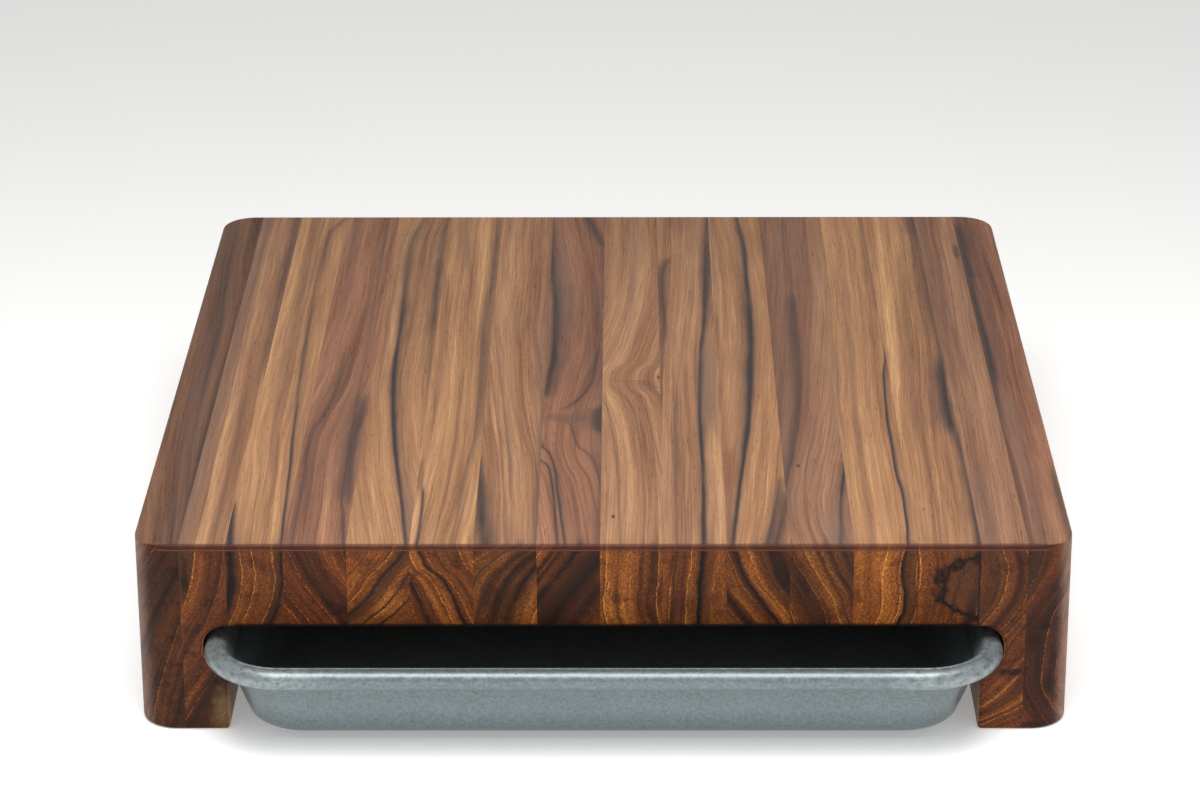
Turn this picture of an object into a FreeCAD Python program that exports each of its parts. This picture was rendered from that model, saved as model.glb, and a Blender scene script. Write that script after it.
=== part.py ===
"""Thick edge-grain chopping board with two sheet-metal trays that slide in under it.

The board stands on two legs. Twelve middle staves and two staves in each leg are glued side by
side, and the block is then shaped as one: two pockets are milled up from below, one from the front
and one from the rear, with a web left between them, and a round-ended groove is milled along both
sides of each pocket. A tray hangs in each pocket by its rolled rim, which runs in the grooves, and
stands out past the face of the board to be gripped.

Frame: origin on the floor at the middle of the board, +X to the right, +Y to the rear, +Z up.
The trays slide along Y. All sizes are in millimetres.
"""
import FreeCAD
import Part
import math
import os

import Sketcher

DRIVING_SIZES = [
    ("board_width", 285.0, "across the legs"),
    ("board_length", 300.5, "front face to rear face, along the grain"),
    ("board_height", 62.0, "floor to chopping face"),
    ("board_corner_radius", 11.6, "vertical corners of the block"),
    ("arris_radius", 1.2, "eased edges of the block"),
    ("leg_width", 28.4, "the two staves of a leg"),
    ("middle_stave_count", 12, "staves between the legs"),
    ("first_stave_trim", 1.8, "what the first middle stave lacks in width"),
    ("pocket_side_cut", 0.7, "how far a pocket is milled into a leg, past the glue line"),
    ("web_thickness", 17.0, "wood left between the two pockets"),
    ("pocket_cutter_radius", 9.5, "inner corners of the pockets"),
    ("spindle_inset", 3.6, "spindle of the disc that mills a groove to the pocket's side"),
    ("rim_end_clearance", 0.5, "edge of the rim to the end of its groove"),
    ("groove_shoulder_radius", 7.0, "upper corner of a groove"),
    ("groove_heel_radius", 2.0, "lower corner of a groove"),
    ("rim_headroom", 4.55, "top of the rim to the pocket's ceiling"),
    ("rim_clearance", 0.35, "underside of the rim to the ledge that carries it"),
    ("stop_clearance", 0.3, "rim to the web with the tray pushed home"),
    ("wall_clearance", 0.4, "tray wall to the leg, just under the rim"),
    ("tray_height", 27.7, "underside of the tray to the top of its rim"),
    ("tray_floor_clearance", 2.5, "underside of the tray to the worktop"),
    ("tray_grip_reach", 23.8, "how far a tray stands out of the board"),
    ("sheet_thickness", 1.0, "aluminium sheet of a tray"),
    ("rim_wire_diameter", 4.0, "steel wire that the rim is rolled round"),
    ("rim_wire_clearance", 0.1, "wire to the sheet rolled round it"),
    ("rim_reach", 7.2, "tray wall to the outer edge of the rim"),
    ("lip_gap", 0.5, "end of the rolled lip to the tray wall"),
    ("shoulder_radius", 3.2, "upper bend, wall to rim, on its upper side"),
    ("foot_radius", 7.5, "lower bend, floor to wall, on its lower side"),
    ("wall_lean", 19.0, "tray wall from the vertical, in degrees"),
    ("floor_corner_radius", 6.4, "corners of a tray's flat floor, in plan"),
]

doc = FreeCAD.newDocument("cutting_board_with_drawer_trays")
sheet = doc.addObject("Spreadsheet::Sheet", "Sizes")
for row, (alias, value, note) in enumerate(DRIVING_SIZES, start=1):
    sheet.set("A%d" % row, alias)
    sheet.set("B%d" % row, str(value))
    sheet.set("C%d" % row, note)
    sheet.setAlias("B%d" % row, alias)
doc.recompute()


class Size:
    """A size as a number and as the sheet expression that gives it.

    Arithmetic on sizes works out both, so that one formula places a point and also binds it.
    """

    def __init__(self, value, text):
        self.value = float(value)
        self.text = text

    @staticmethod
    def of(other):
        return other if isinstance(other, Size) else Size(other, repr(float(other)))

    def __add__(self, other):
        other = Size.of(other)
        return Size(self.value + other.value, "(%s + %s)" % (self.text, other.text))

    def __sub__(self, other):
        other = Size.of(other)
        return Size(self.value - other.value, "(%s - %s)" % (self.text, other.text))

    def __mul__(self, other):
        other = Size.of(other)
        return Size(self.value * other.value, "(%s * %s)" % (self.text, other.text))

    def __truediv__(self, other):
        other = Size.of(other)
        return Size(self.value / other.value, "(%s / %s)" % (self.text, other.text))

    def __neg__(self):
        return Size.of(0) - self

    __radd__ = __add__

    def __rsub__(self, other):
        return Size.of(other) - self

    def __rmul__(self, other):
        return Size.of(other) * self


def driving(alias):
    """The size in the sheet cell with this alias."""
    return Size(sheet.get(alias), "Sizes.%s" % alias)


def cosine(angle):
    return Size(math.cos(math.radians(angle.value)), "cos(%s)" % angle.text)


def sine(angle):
    return Size(math.sin(math.radians(angle.value)), "sin(%s)" % angle.text)


def bind(feature, **sizes):
    """Set properties of a feature to sizes, and tie each one to the sheet."""
    for name, size in sizes.items():
        size = Size.of(size)
        setattr(feature, name, size.value)
        feature.setExpression(name, size.text)


def place(feature, x=0, y=0, z=0):
    """Move a feature to a point that follows the sheet."""
    point = [Size.of(c) for c in (x, y, z)]
    feature.Placement.Base = FreeCAD.Vector(*[c.value for c in point])
    for axis, size in zip("xyz", point):
        feature.setExpression("Placement.Base.%s" % axis, size.text)


# Heights, widths and places that follow from the driving sizes.

HALF_WIDTH = driving("board_width") / 2
HALF_LENGTH = driving("board_length") / 2
INNER_GLUE_LINE = HALF_WIDTH - driving("leg_width")
POCKET_HALF_WIDTH = INNER_GLUE_LINE + driving("pocket_side_cut")
WEB_HALF = driving("web_thickness") / 2
POCKET_DEPTH = HALF_LENGTH - WEB_HALF

THICKNESS = driving("sheet_thickness")
ROLL_INNER_RADIUS = driving("rim_wire_diameter") / 2 + driving("rim_wire_clearance")
ROLL_RADIUS = ROLL_INNER_RADIUS + THICKNESS
RIM_HEIGHT = ROLL_RADIUS * 2
TRAY_HEIGHT = driving("tray_height")

LEDGE_Z = driving("tray_floor_clearance") + TRAY_HEIGHT - RIM_HEIGHT - driving("rim_clearance")
GROOVE_HEIGHT = driving("rim_clearance") + RIM_HEIGHT + driving("rim_headroom")
CEILING_Z = LEDGE_Z + GROOVE_HEIGHT

RIM_HALF_WIDTH = POCKET_HALF_WIDTH - driving("wall_clearance") + driving("rim_reach")
GROOVE_END_X = RIM_HALF_WIDTH + driving("rim_end_clearance")
GROOVE_SPINDLE_X = POCKET_HALF_WIDTH - driving("spindle_inset")
GROOVE_DISC_RADIUS = GROOVE_END_X - GROOVE_SPINDLE_X
TRAY_HALF_LENGTH = (POCKET_DEPTH - driving("stop_clearance") + driving("tray_grip_reach")) / 2
TRAY_MIDDLE_Y = WEB_HALF + driving("stop_clearance") + TRAY_HALF_LENGTH


def new_sketch(body, name, plane="XY_Plane"):
    """A sketch on one of the origin planes of its own body."""
    sketch = body.newObject("Sketcher::SketchObject", name)
    origin_plane = [f for f in body.Origin.OriginFeatures if f.Role == plane][0]
    sketch.AttachmentSupport = [(origin_plane, "")]
    sketch.MapMode = "FlatFace"
    return sketch


def line_to(point):
    """The next corner of an outline, reached by a straight side."""
    return {"point": point, "radius": None}


def arc_to(point, centre, radius, turn):
    """The next corner of an outline, reached by an arc. A turn of 1 is anticlockwise, -1 clockwise."""
    return {"point": point, "centre": centre, "radius": radius, "turn": turn}


def tie(sketch, kind, *members_and_size):
    """Add one dimension to a sketch and tie it to the sheet."""
    *members, size = members_and_size
    number = sketch.addConstraint(Sketcher.Constraint(kind, *members, size.value))
    sketch.setExpression("Constraints[%d]" % number, size.text)


def draw(sketch, start, steps):
    """Draw a closed outline whose corners and radii are all tied to the sheet.

    start is the first corner, and steps are the others in order, the last one ending at the start.
    """
    corners = [start] + [step["point"] for step in steps[:-1]]
    starts, ends = [], []
    for index, step in enumerate(steps):
        first = [c.value for c in corners[index]]
        last = [c.value for c in corners[(index + 1) % len(corners)]]
        if step["radius"] is None:
            side = Part.LineSegment(FreeCAD.Vector(*first, 0), FreeCAD.Vector(*last, 0))
            side_number = sketch.addGeometry(side, False)
            first_end, last_end = (side_number, 1), (side_number, 2)
        else:
            centre = [c.value for c in step["centre"]]
            circle = Part.Circle(FreeCAD.Vector(*centre, 0), FreeCAD.Vector(0, 0, 1), step["radius"].value)
            angles = [math.atan2(p[1] - centre[1], p[0] - centre[0]) for p in (first, last)]
            if step["turn"] < 0:
                angles.reverse()
            if angles[1] <= angles[0]:
                angles[1] += 2 * math.pi
            side_number = sketch.addGeometry(Part.ArcOfCircle(circle, *angles), False)
            first_end, last_end = (side_number, 1), (side_number, 2)
            if step["turn"] < 0:
                first_end, last_end = last_end, first_end
            tie(sketch, "Radius", side_number, step["radius"])
        starts.append(first_end)
        ends.append(last_end)
    for index, corner in enumerate(corners):
        sketch.addConstraint(Sketcher.Constraint("Coincident", *ends[index - 1], *starts[index]))
        tie(sketch, "DistanceX", -1, 1, *starts[index], corner[0])
        tie(sketch, "DistanceY", -1, 1, *starts[index], corner[1])


def draw_circle(sketch, centre, radius):
    """Draw a circle whose centre and radius are tied to the sheet."""
    middle = FreeCAD.Vector(*[c.value for c in centre], 0)
    number = sketch.addGeometry(Part.Circle(middle, FreeCAD.Vector(0, 0, 1), radius.value), False)
    tie(sketch, "DistanceX", -1, 1, number, 3, centre[0])
    tie(sketch, "DistanceY", -1, 1, number, 3, centre[1])
    tie(sketch, "Radius", number, radius)


def draw_rounded_rectangle(sketch, half_x, half_y, radius):
    """A rectangle about the origin with round corners. It starts at the middle of its +Y side."""
    flat_x = half_x - radius
    flat_y = half_y - radius
    middle = (Size.of(0), half_y)
    corners = [
        ((-flat_x, flat_y), (-flat_x, half_y), (-half_x, flat_y)),
        ((-flat_x, -flat_y), (-half_x, -flat_y), (-flat_x, -half_y)),
        ((flat_x, -flat_y), (flat_x, -half_y), (half_x, -flat_y)),
        ((flat_x, flat_y), (half_x, flat_y), (flat_x, half_y)),
    ]
    steps = []
    for centre, arc_start, arc_end in corners:
        steps += [line_to(arc_start), arc_to(arc_end, centre, radius, 1)]
    draw(sketch, middle, steps + [line_to(middle)])


# The board, shaped as one block.

CUT_OVERRUN = Size.of(5)


def add_cut(body, kind, name, sketch, **settings):
    """Cut with a sketch, and make sure that wood has really come off."""
    before = body.Tip.Shape.Volume
    cut = body.newObject("PartDesign::%s" % kind, name)
    cut.Profile = sketch
    for setting, value in settings.items():
        if isinstance(value, Size):
            bind(cut, **{setting: value})
        else:
            setattr(cut, setting, value)
    doc.recompute()
    if not cut.Shape.Volume < before:
        raise RuntimeError("%s cuts nothing" % name)


def mill_pocket(body, name, end):
    """Mill the pocket of one end of the board. An end of -1 is the front, 1 the rear."""
    radius = driving("pocket_cutter_radius")
    mouth = end * (HALF_LENGTH + CUT_OVERRUN)
    web = end * WEB_HALF
    round_y = end * (WEB_HALF + radius)
    flat_x = POCKET_HALF_WIDTH - radius
    sketch = new_sketch(body, name + "_outline")
    draw(sketch, (-POCKET_HALF_WIDTH, mouth), [
        line_to((-POCKET_HALF_WIDTH, round_y)),
        arc_to((-flat_x, web), (-flat_x, round_y), radius, end),
        line_to((flat_x, web)),
        arc_to((POCKET_HALF_WIDTH, round_y), (flat_x, round_y), radius, end),
        line_to((POCKET_HALF_WIDTH, mouth)),
        line_to((-POCKET_HALF_WIDTH, mouth)),
    ])
    add_cut(body, "Pocket", name, sketch, Reversed=True, Length=CEILING_Z)


def mill_groove(body, name, end, side):
    """Mill one rim groove: a straight run from the mouth, and the disc's own shape where it stops.

    Both cuts take one section, drawn out from the disc's spindle. Its upper corner is one wide arc, from
    just outside the edge of the pocket's ceiling. A side of -1 is the left, 1 the right.
    """
    spindle_y = WEB_HALF + GROOVE_DISC_RADIUS
    spindle = Size.of(0)
    shoulder = driving("groove_shoulder_radius")
    heel = driving("groove_heel_radius")
    end_x = side * GROOVE_DISC_RADIUS
    heel_x = side * (GROOVE_DISC_RADIUS - heel)
    heel_z = LEDGE_Z + heel
    shoulder_x = side * (GROOVE_DISC_RADIUS - shoulder)
    shoulder_z = CEILING_Z - shoulder
    section = new_sketch(body, name + "_section", "XZ_Plane")
    section.setExpression("AttachmentOffset.Base.x", (side * GROOVE_SPINDLE_X).text)
    section.setExpression("AttachmentOffset.Base.z", (-end * spindle_y).text)
    draw(section, (spindle, LEDGE_Z), [
        line_to((heel_x, LEDGE_Z)),
        arc_to((end_x, heel_z), (heel_x, heel_z), heel, side),
        line_to((end_x, shoulder_z)),
        arc_to((shoulder_x, CEILING_Z), (shoulder_x, shoulder_z), shoulder, side),
        line_to((spindle, CEILING_Z)),
        line_to((spindle, LEDGE_Z)),
    ])
    doc.recompute()
    run = HALF_LENGTH + CUT_OVERRUN - spindle_y
    add_cut(body, "Pocket", name, section, Reversed=end < 0, Length=run)
    add_cut(body, "Groove", name + "_stop", section, ReferenceAxis=(section, ["V_Axis"]), Angle=360)


block = doc.addObject("PartDesign::Body", "board_block")
blank_outline = new_sketch(block, "blank_outline")
draw_rounded_rectangle(blank_outline, HALF_WIDTH, HALF_LENGTH, driving("board_corner_radius"))
blank = block.newObject("PartDesign::Pad", "blank")
blank.Profile = blank_outline
bind(blank, Length=driving("board_height"))
doc.recompute()
for end_name, end in (("front", -1), ("rear", 1)):
    mill_pocket(block, end_name + "_pocket", end)
    for side_name, side in (("left", -1), ("right", 1)):
        mill_groove(block, "%s_%s_groove" % (end_name, side_name), end, side)


def lies_at(low, high, level):
    """Whether a side of a bounding box, from low to high, lies all at one level."""
    tolerance = 1e-4
    return abs(low - level) < tolerance and abs(high - level) < tolerance


def is_eased(edge):
    """Whether an edge is one that is eased: the rims of the top, the feet and the two mouths."""
    box = edge.BoundBox
    on_top = lies_at(box.ZMin, box.ZMax, driving("board_height").value)
    on_foot = lies_at(box.ZMin, box.ZMax, 0)
    in_mouth = any(lies_at(box.YMin, box.YMax, end * HALF_LENGTH.value) for end in (-1, 1))
    upright = box.ZMax > driving("board_height").value - 1
    return on_top or on_foot or (in_mouth and not upright)


shaped_block = block.Tip
eased_edges = ["Edge%d" % n for n, edge in enumerate(shaped_block.Shape.Edges, start=1) if is_eased(edge)]
arris = block.newObject("PartDesign::Fillet", "arris")
arris.Base = (shaped_block, eased_edges)
bind(arris, Radius=driving("arris_radius"))
doc.recompute()


# The staves: the block parted at its glue lines.

parts = []


def part_stave(name, left, right):
    """Take the stave between two glue lines out of the block."""
    slice_box = doc.addObject("Part::Box", name + "_slice")
    bind(slice_box, Length=right - left, Width=HALF_LENGTH * 2, Height=driving("board_height"))
    place(slice_box, left, -HALF_LENGTH)
    stave = doc.addObject("Part::Common", name)
    stave.Base = block
    stave.Tool = slice_box
    stave.Label = name
    parts.append(stave)


LEG_GLUE_LINE = HALF_WIDTH - driving("leg_width") / 2
STAVE_COUNT = int(driving("middle_stave_count").value)
STAVE_WIDTH = (INNER_GLUE_LINE * 2 + driving("first_stave_trim")) / driving("middle_stave_count")

part_stave("left_leg_outer_stave", -HALF_WIDTH, -LEG_GLUE_LINE)
part_stave("left_leg_inner_stave", -LEG_GLUE_LINE, -INNER_GLUE_LINE)
glue_line = -INNER_GLUE_LINE
for number in range(1, STAVE_COUNT + 1):
    next_glue_line = STAVE_WIDTH * number - INNER_GLUE_LINE - driving("first_stave_trim")
    part_stave("middle_stave_%02d" % number, glue_line, next_glue_line)
    glue_line = next_glue_line
part_stave("right_leg_inner_stave", INNER_GLUE_LINE, LEG_GLUE_LINE)
part_stave("right_leg_outer_stave", LEG_GLUE_LINE, HALF_WIDTH)


# The trays. A section is drawn in two measures: out from the edge of the flat floor, and up.

LEAN = driving("wall_lean")
FOOT = driving("foot_radius")
SHOULDER = driving("shoulder_radius")
LIP_Z = TRAY_HEIGHT - RIM_HEIGHT


def wall_run(height):
    """How far the outer skin of the wall has leaned out at a height, from where the foot would be sharp."""
    return height * sine(LEAN) / cosine(LEAN)


# The foot bend starts at the flat floor, and ends where its tangent leans as the wall does.
FOOT_END = (FOOT * cosine(LEAN), FOOT - FOOT * sine(LEAN))
WALL_AT_LIP = FOOT_END[0] + wall_run(LIP_Z - FOOT_END[1])
RIM_EDGE = WALL_AT_LIP + driving("rim_reach")
FLOOR_HALF_X = RIM_HALF_WIDTH - RIM_EDGE
FLOOR_HALF_Y = TRAY_HALF_LENGTH - RIM_EDGE

# The shoulder bend turns the wall outward: its centre is one sheet and one inner bend out from the wall.
SHOULDER_Z = TRAY_HEIGHT - SHOULDER
SHOULDER_X = WALL_AT_LIP + wall_run(SHOULDER_Z - LIP_Z) + (SHOULDER - THICKNESS) / cosine(LEAN)


def bend_point(centre, radius, side):
    """Where a bend of this radius meets the wall. A side of 1 is below the wall's skin, -1 above."""
    return (centre[0] + side * radius * cosine(LEAN), centre[1] - side * radius * sine(LEAN))


def draw_tray_section(sketch):
    """The sheet of wall and rim: foot, wall, shoulder, and the roll that closes round the wire."""
    edge = FLOOR_HALF_Y

    def at(out, up):
        return (edge + out, up)

    foot_centre = (Size.of(0), FOOT)
    shoulder_centre = (SHOULDER_X, SHOULDER_Z)
    roll_x = RIM_EDGE - ROLL_RADIUS
    roll_z = TRAY_HEIGHT - ROLL_RADIUS
    roll = at(roll_x, roll_z)
    lip_x = WALL_AT_LIP + driving("lip_gap")
    inner_foot = FOOT - THICKNESS
    inner_shoulder = SHOULDER - THICKNESS
    draw(sketch, at(Size.of(0), Size.of(0)), [
        arc_to(at(*bend_point(foot_centre, FOOT, 1)), at(*foot_centre), FOOT, 1),
        line_to(at(*bend_point(shoulder_centre, inner_shoulder, -1))),
        arc_to(at(SHOULDER_X, TRAY_HEIGHT - THICKNESS), at(*shoulder_centre), inner_shoulder, -1),
        line_to(at(roll_x, TRAY_HEIGHT - THICKNESS)),
        arc_to(at(RIM_EDGE - THICKNESS, roll_z), roll, ROLL_INNER_RADIUS, -1),
        arc_to(at(roll_x, LIP_Z + THICKNESS), roll, ROLL_INNER_RADIUS, -1),
        line_to(at(lip_x, LIP_Z + THICKNESS)),
        line_to(at(lip_x, LIP_Z)),
        line_to(at(roll_x, LIP_Z)),
        arc_to(at(RIM_EDGE, roll_z), roll, ROLL_RADIUS, 1),
        arc_to(at(roll_x, TRAY_HEIGHT), roll, ROLL_RADIUS, 1),
        line_to(at(SHOULDER_X, TRAY_HEIGHT)),
        arc_to(at(*bend_point(shoulder_centre, SHOULDER, -1)), at(*shoulder_centre), SHOULDER, 1),
        line_to(at(*bend_point(foot_centre, inner_foot, 1))),
        arc_to(at(Size.of(0), THICKNESS), at(*foot_centre), inner_foot, -1),
        line_to(at(Size.of(0), Size.of(0))),
    ])


def sweep(body, name, path, section):
    """Carry a section round a closed path."""
    pipe = body.newObject("PartDesign::AdditivePipe", name)
    pipe.Profile = section
    pipe.Spine = path
    return pipe


def make_pan(name, end):
    """One tray: a drawn sheet with a flat floor, and its rim rolled over."""
    body = doc.addObject("PartDesign::Body", name)
    floor_outline = new_sketch(body, name + "_floor_outline")
    draw_rounded_rectangle(floor_outline, FLOOR_HALF_X, FLOOR_HALF_Y, driving("floor_corner_radius"))
    floor = body.newObject("PartDesign::Pad", name + "_floor")
    floor.Profile = floor_outline
    bind(floor, Length=THICKNESS)
    section = new_sketch(body, name + "_section", "YZ_Plane")
    draw_tray_section(section)
    doc.recompute()
    sweep(body, name + "_wall_and_rim", floor_outline, section)
    seat(body, name, end)


def make_rim_wire(name, end):
    """The steel wire inside the rolled rim, one closed ring."""
    body = doc.addObject("PartDesign::Body", name)
    path = new_sketch(body, name + "_path")
    inset = ROLL_RADIUS
    corner = driving("floor_corner_radius") + RIM_EDGE - inset
    draw_rounded_rectangle(path, RIM_HALF_WIDTH - inset, TRAY_HALF_LENGTH - inset, corner)
    path.setExpression("AttachmentOffset.Base.z", (TRAY_HEIGHT - inset).text)
    section = new_sketch(body, name + "_section", "YZ_Plane")
    middle = (TRAY_HALF_LENGTH - inset, TRAY_HEIGHT - inset)
    draw_circle(section, middle, driving("rim_wire_diameter") / 2)
    doc.recompute()
    sweep(body, name + "_ring", path, section)
    seat(body, name, end)


def seat(body, name, end):
    """Name a tray's piece and set it in its pocket, pushed home."""
    body.Label = name
    place(body, 0, end * TRAY_MIDDLE_Y, driving("tray_floor_clearance"))
    parts.append(body)


for end_name, end in (("front", -1), ("rear", 1)):
    make_pan(end_name + "_tray_pan", end)
    make_rim_wire(end_name + "_tray_rim_wire", end)

doc.recompute()

for feature in doc.Objects:
    if {"Invalid", "Error"} & set(feature.State):
        raise RuntimeError("%s has failed: %s" % (feature.Label, feature.State))
for part in parts:
    if part.Shape.isNull() or not part.Shape.isValid() or len(part.Shape.Solids) != 1:
        raise RuntimeError("%s is not one valid solid" % part.Label)

os.makedirs("parts", exist_ok=True)
for part in parts:
    part.Shape.exportStep(os.path.join("parts", part.Label + ".step"))
    box = part.Shape.BoundBox
    print("%-24s %9.0f mm3  x %7.2f %7.2f  y %7.2f %7.2f  z %6.2f %6.2f" % (
        part.Label, part.Shape.Volume, box.XMin, box.XMax, box.YMin, box.YMax, box.ZMin, box.ZMax))
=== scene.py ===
"""Thick teak chopping board on two legs, with a sheet-metal tray that slides in under each end.

The board's sixteen staves come from the fixed frame and are dressed with a solid figure, so that the
streaks of the chopping face run down into the rings of the end grain. The two trays are drawn here as
surfaces, over the solids of the frame. Sizes are in millimetres where a name doesn't say otherwise.
"""
import logging
import math
from collections.abc import Callable
from dataclasses import dataclass, field
from enum import Enum

import bpy
import numpy as np
from mathutils import Matrix


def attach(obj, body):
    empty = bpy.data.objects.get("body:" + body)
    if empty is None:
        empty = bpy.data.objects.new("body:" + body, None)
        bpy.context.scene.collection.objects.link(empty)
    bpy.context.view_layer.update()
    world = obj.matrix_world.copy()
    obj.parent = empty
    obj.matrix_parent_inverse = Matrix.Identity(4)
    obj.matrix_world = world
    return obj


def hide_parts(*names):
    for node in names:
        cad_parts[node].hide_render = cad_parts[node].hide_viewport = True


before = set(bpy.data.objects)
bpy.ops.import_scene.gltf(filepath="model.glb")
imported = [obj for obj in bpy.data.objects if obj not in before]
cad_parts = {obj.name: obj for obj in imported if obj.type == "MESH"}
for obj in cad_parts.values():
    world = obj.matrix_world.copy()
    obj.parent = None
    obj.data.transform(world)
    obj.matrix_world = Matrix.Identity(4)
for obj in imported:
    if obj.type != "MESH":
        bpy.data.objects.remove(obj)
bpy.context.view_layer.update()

log = logging.getLogger("chopping_board")
MM = 0.001

# Reach of the staves, in millimetres.
FRONT_Y = -150.25
REAR_Y = 150.25
LENGTH = REAR_Y - FRONT_Y
TOP_Z = 62.0

# Where the courses of marks end at the front, and the length over which those of the end grain fade in.
FRONT_END = -150
END_FADE = 14

# Smallest differences: between a curve's results, from a curve's end to a point that counts as at the
# end, between two heights, and how upright a lamp's axis is before its sides need another direction.
LEAST_SPAN = 1e-3
CURVE_END = 0.002
TOUCH = 0.01
UPRIGHT = 0.99


# ---------------------------------------------------------------------------------------- node trees


def arithmetic(operation: str, swapped: bool = False) -> Callable[..., "Signal"]:
    """Make a signal's operator, which adds one step of arithmetic to its graph.

    Args:
        operation: The Math node's operation.
        swapped: Whether the signal stands second.

    Returns:
        The operator.
    """

    def work(signal: "Signal", other: object) -> "Signal":
        """Add the step, for the signal and the other value."""
        return signal.graph.math(operation, *((other, signal) if swapped else (signal, other)))

    return work


class Signal:
    """A number, point or colour on its way through a material, with the usual arithmetic."""

    __add__ = arithmetic("ADD")
    __radd__ = arithmetic("ADD", True)
    __sub__ = arithmetic("SUBTRACT")
    __rsub__ = arithmetic("SUBTRACT", True)
    __mul__ = arithmetic("MULTIPLY")
    __rmul__ = arithmetic("MULTIPLY", True)
    __truediv__ = arithmetic("DIVIDE")

    def __init__(self, graph: "Graph", socket: bpy.types.NodeSocket) -> None:
        """Keep the socket and the graph that it belongs to."""
        self.graph = graph
        self.socket = socket


@dataclass(frozen=True)
class Lumps:
    """Smooth noise, by the size of its lumps in millimetres.

    Attributes:
        x: Length of a lump along x.
        y: Length along y.
        z: Length along z.
        layers: How many finer layers lie on it.
        rough: Strength of each layer against the one before.
    """

    x: float
    y: float
    z: float
    layers: float = 2.0
    rough: float = 0.5


class Graph:
    """One material's node tree, with a short method for each kind of node that the finishes use."""

    def __init__(self, name: str) -> None:
        """Start an empty material.

        Args:
            name: The material's name.
        """
        self.material = bpy.data.materials.new(name)
        self.material.use_nodes = True
        self.tree = self.material.node_tree
        self.tree.nodes.clear()
        self.coordinates = self.node("TexCoord").outputs

    def node(self, kind: str, **settings: object) -> bpy.types.Node:
        """Add a node and set its properties.

        Args:
            kind: The node's type, without the word ShaderNode.
            settings: Properties of the node.

        Returns:
            The node.
        """
        made = self.tree.nodes.new("ShaderNode" + kind)
        for key, value in settings.items():
            setattr(made, key, value)
        return made

    def feed(self, socket: bpy.types.NodeSocket, value: object) -> None:
        """Link a signal to a socket, or set the socket to a plain value.

        Args:
            socket: The input.
            value: A signal, a number, or a tuple of numbers.
        """
        if isinstance(value, Signal):
            self.tree.links.new(value.socket, socket)
        elif isinstance(value, tuple) and len(value) == 3 and len(socket.default_value) == 4:
            socket.default_value = (*value, 1.0)
        else:
            socket.default_value = value

    def math(self, operation: str, a: object, b: object = 0.0, c: object = 0.0) -> Signal:
        """One step of arithmetic.

        Args:
            operation: The Math node's operation.
            a: First value.
            b: Second value.
            c: Third value, for the few operations that take one.

        Returns:
            The result.
        """
        made = self.node("Math", operation=operation)
        for socket, value in zip(made.inputs, (a, b, c)):
            self.feed(socket, value)
        return Signal(self, made.outputs[0])

    def point(self, x: object, y: object, z: object) -> Signal:
        """A point from three numbers.

        Args:
            x: Its x.
            y: Its y.
            z: Its z.

        Returns:
            The point.
        """
        made = self.node("CombineXYZ")
        for socket, value in zip(made.inputs, (x, y, z)):
            self.feed(socket, value)
        return Signal(self, made.outputs[0])

    def split(self, value: Signal) -> tuple[Signal, Signal, Signal]:
        """The three parts of a point or colour.

        Args:
            value: The point or colour.

        Returns:
            The parts.
        """
        made = self.node("SeparateXYZ")
        self.feed(made.inputs[0], value)
        return tuple(Signal(self, out) for out in made.outputs)

    def place(self) -> tuple[Signal, Signal, Signal]:
        """The surface point in millimetres, on the piece's own axes.

        Returns:
            Its x, y and z.
        """
        scaled = self.node("VectorMath", operation="SCALE")
        self.feed(scaled.inputs[0], Signal(self, self.coordinates["Object"]))
        scaled.inputs["Scale"].default_value = 1 / MM
        return self.split(Signal(self, scaled.outputs[0]))

    def facing(self) -> tuple[Signal, Signal, Signal]:
        """The surface's normal on the piece's own axes."""
        return self.split(Signal(self, self.coordinates["Normal"]))

    def noise(self, place: tuple, lumps: Lumps, seed: float = 0.0) -> Signal:
        """Smooth noise from 0 to 1.

        Args:
            place: The point, as three numbers or signals.
            lumps: The noise's sizes.
            seed: Where it is cut from the noise.

        Returns:
            The noise.
        """
        x, y, z = place[0] / lumps.x, place[1] / lumps.y, place[2] / lumps.z
        made = self.node("TexNoise")
        self.feed(made.inputs["Vector"], self.point(x + seed if seed else x, y, z))
        for key, value in (("Scale", 1.0), ("Detail", lumps.layers), ("Roughness", lumps.rough)):
            made.inputs[key].default_value = value
        return Signal(self, made.outputs[0])

    def chance(self, value: Signal) -> Signal:
        """A number from 0 to 1 that jumps wherever the value changes.

        Args:
            value: The value.

        Returns:
            The number.
        """
        made = self.node("TexWhiteNoise", noise_dimensions="1D")
        self.feed(made.inputs["W"], value)
        return Signal(self, made.outputs[0])

    def step(self, value: Signal, low: float, high: float, a: float = 0.0, b: float = 1.0) -> Signal:
        """A smooth step: a below low, b above high.

        Args:
            value: The number to test.
            low: Where the step starts.
            high: Where it ends.
            a: Result below low.
            b: Result above high.

        Returns:
            The stepped number.
        """
        made = self.node("MapRange", interpolation_type="SMOOTHSTEP")
        for socket, number in zip(made.inputs, (value, low, high, a, b)):
            self.feed(socket, number)
        return Signal(self, made.outputs[0])

    def near(self, value: Signal, limit: float, start: float, full: float = 0.0) -> Signal:
        """A smooth step up to a limit: 0 until start before it, 1 from full before it."""
        return self.step(value, limit - start, limit - full)

    def mix(self, share: object, a: object, b: object, blend: str = "MIX") -> Signal:
        """Two colours, mixed.

        Args:
            share: The second colour's share, from 0 to 1.
            a: The first colour.
            b: The second colour.
            blend: How the second is laid over the first.

        Returns:
            The mixed colour.
        """
        made = self.node("Mix", data_type="RGBA", blend_type=blend, clamp_factor=True)
        for index, value in ((0, share), (6, a), (7, b)):
            self.feed(made.inputs[index], value)
        return Signal(self, made.outputs[2])

    def shaded(self, colour: object, shade: Signal) -> Signal:
        """A colour times a number."""
        return self.mix(1.0, colour, self.point(shade, shade, shade), "MULTIPLY")

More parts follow.
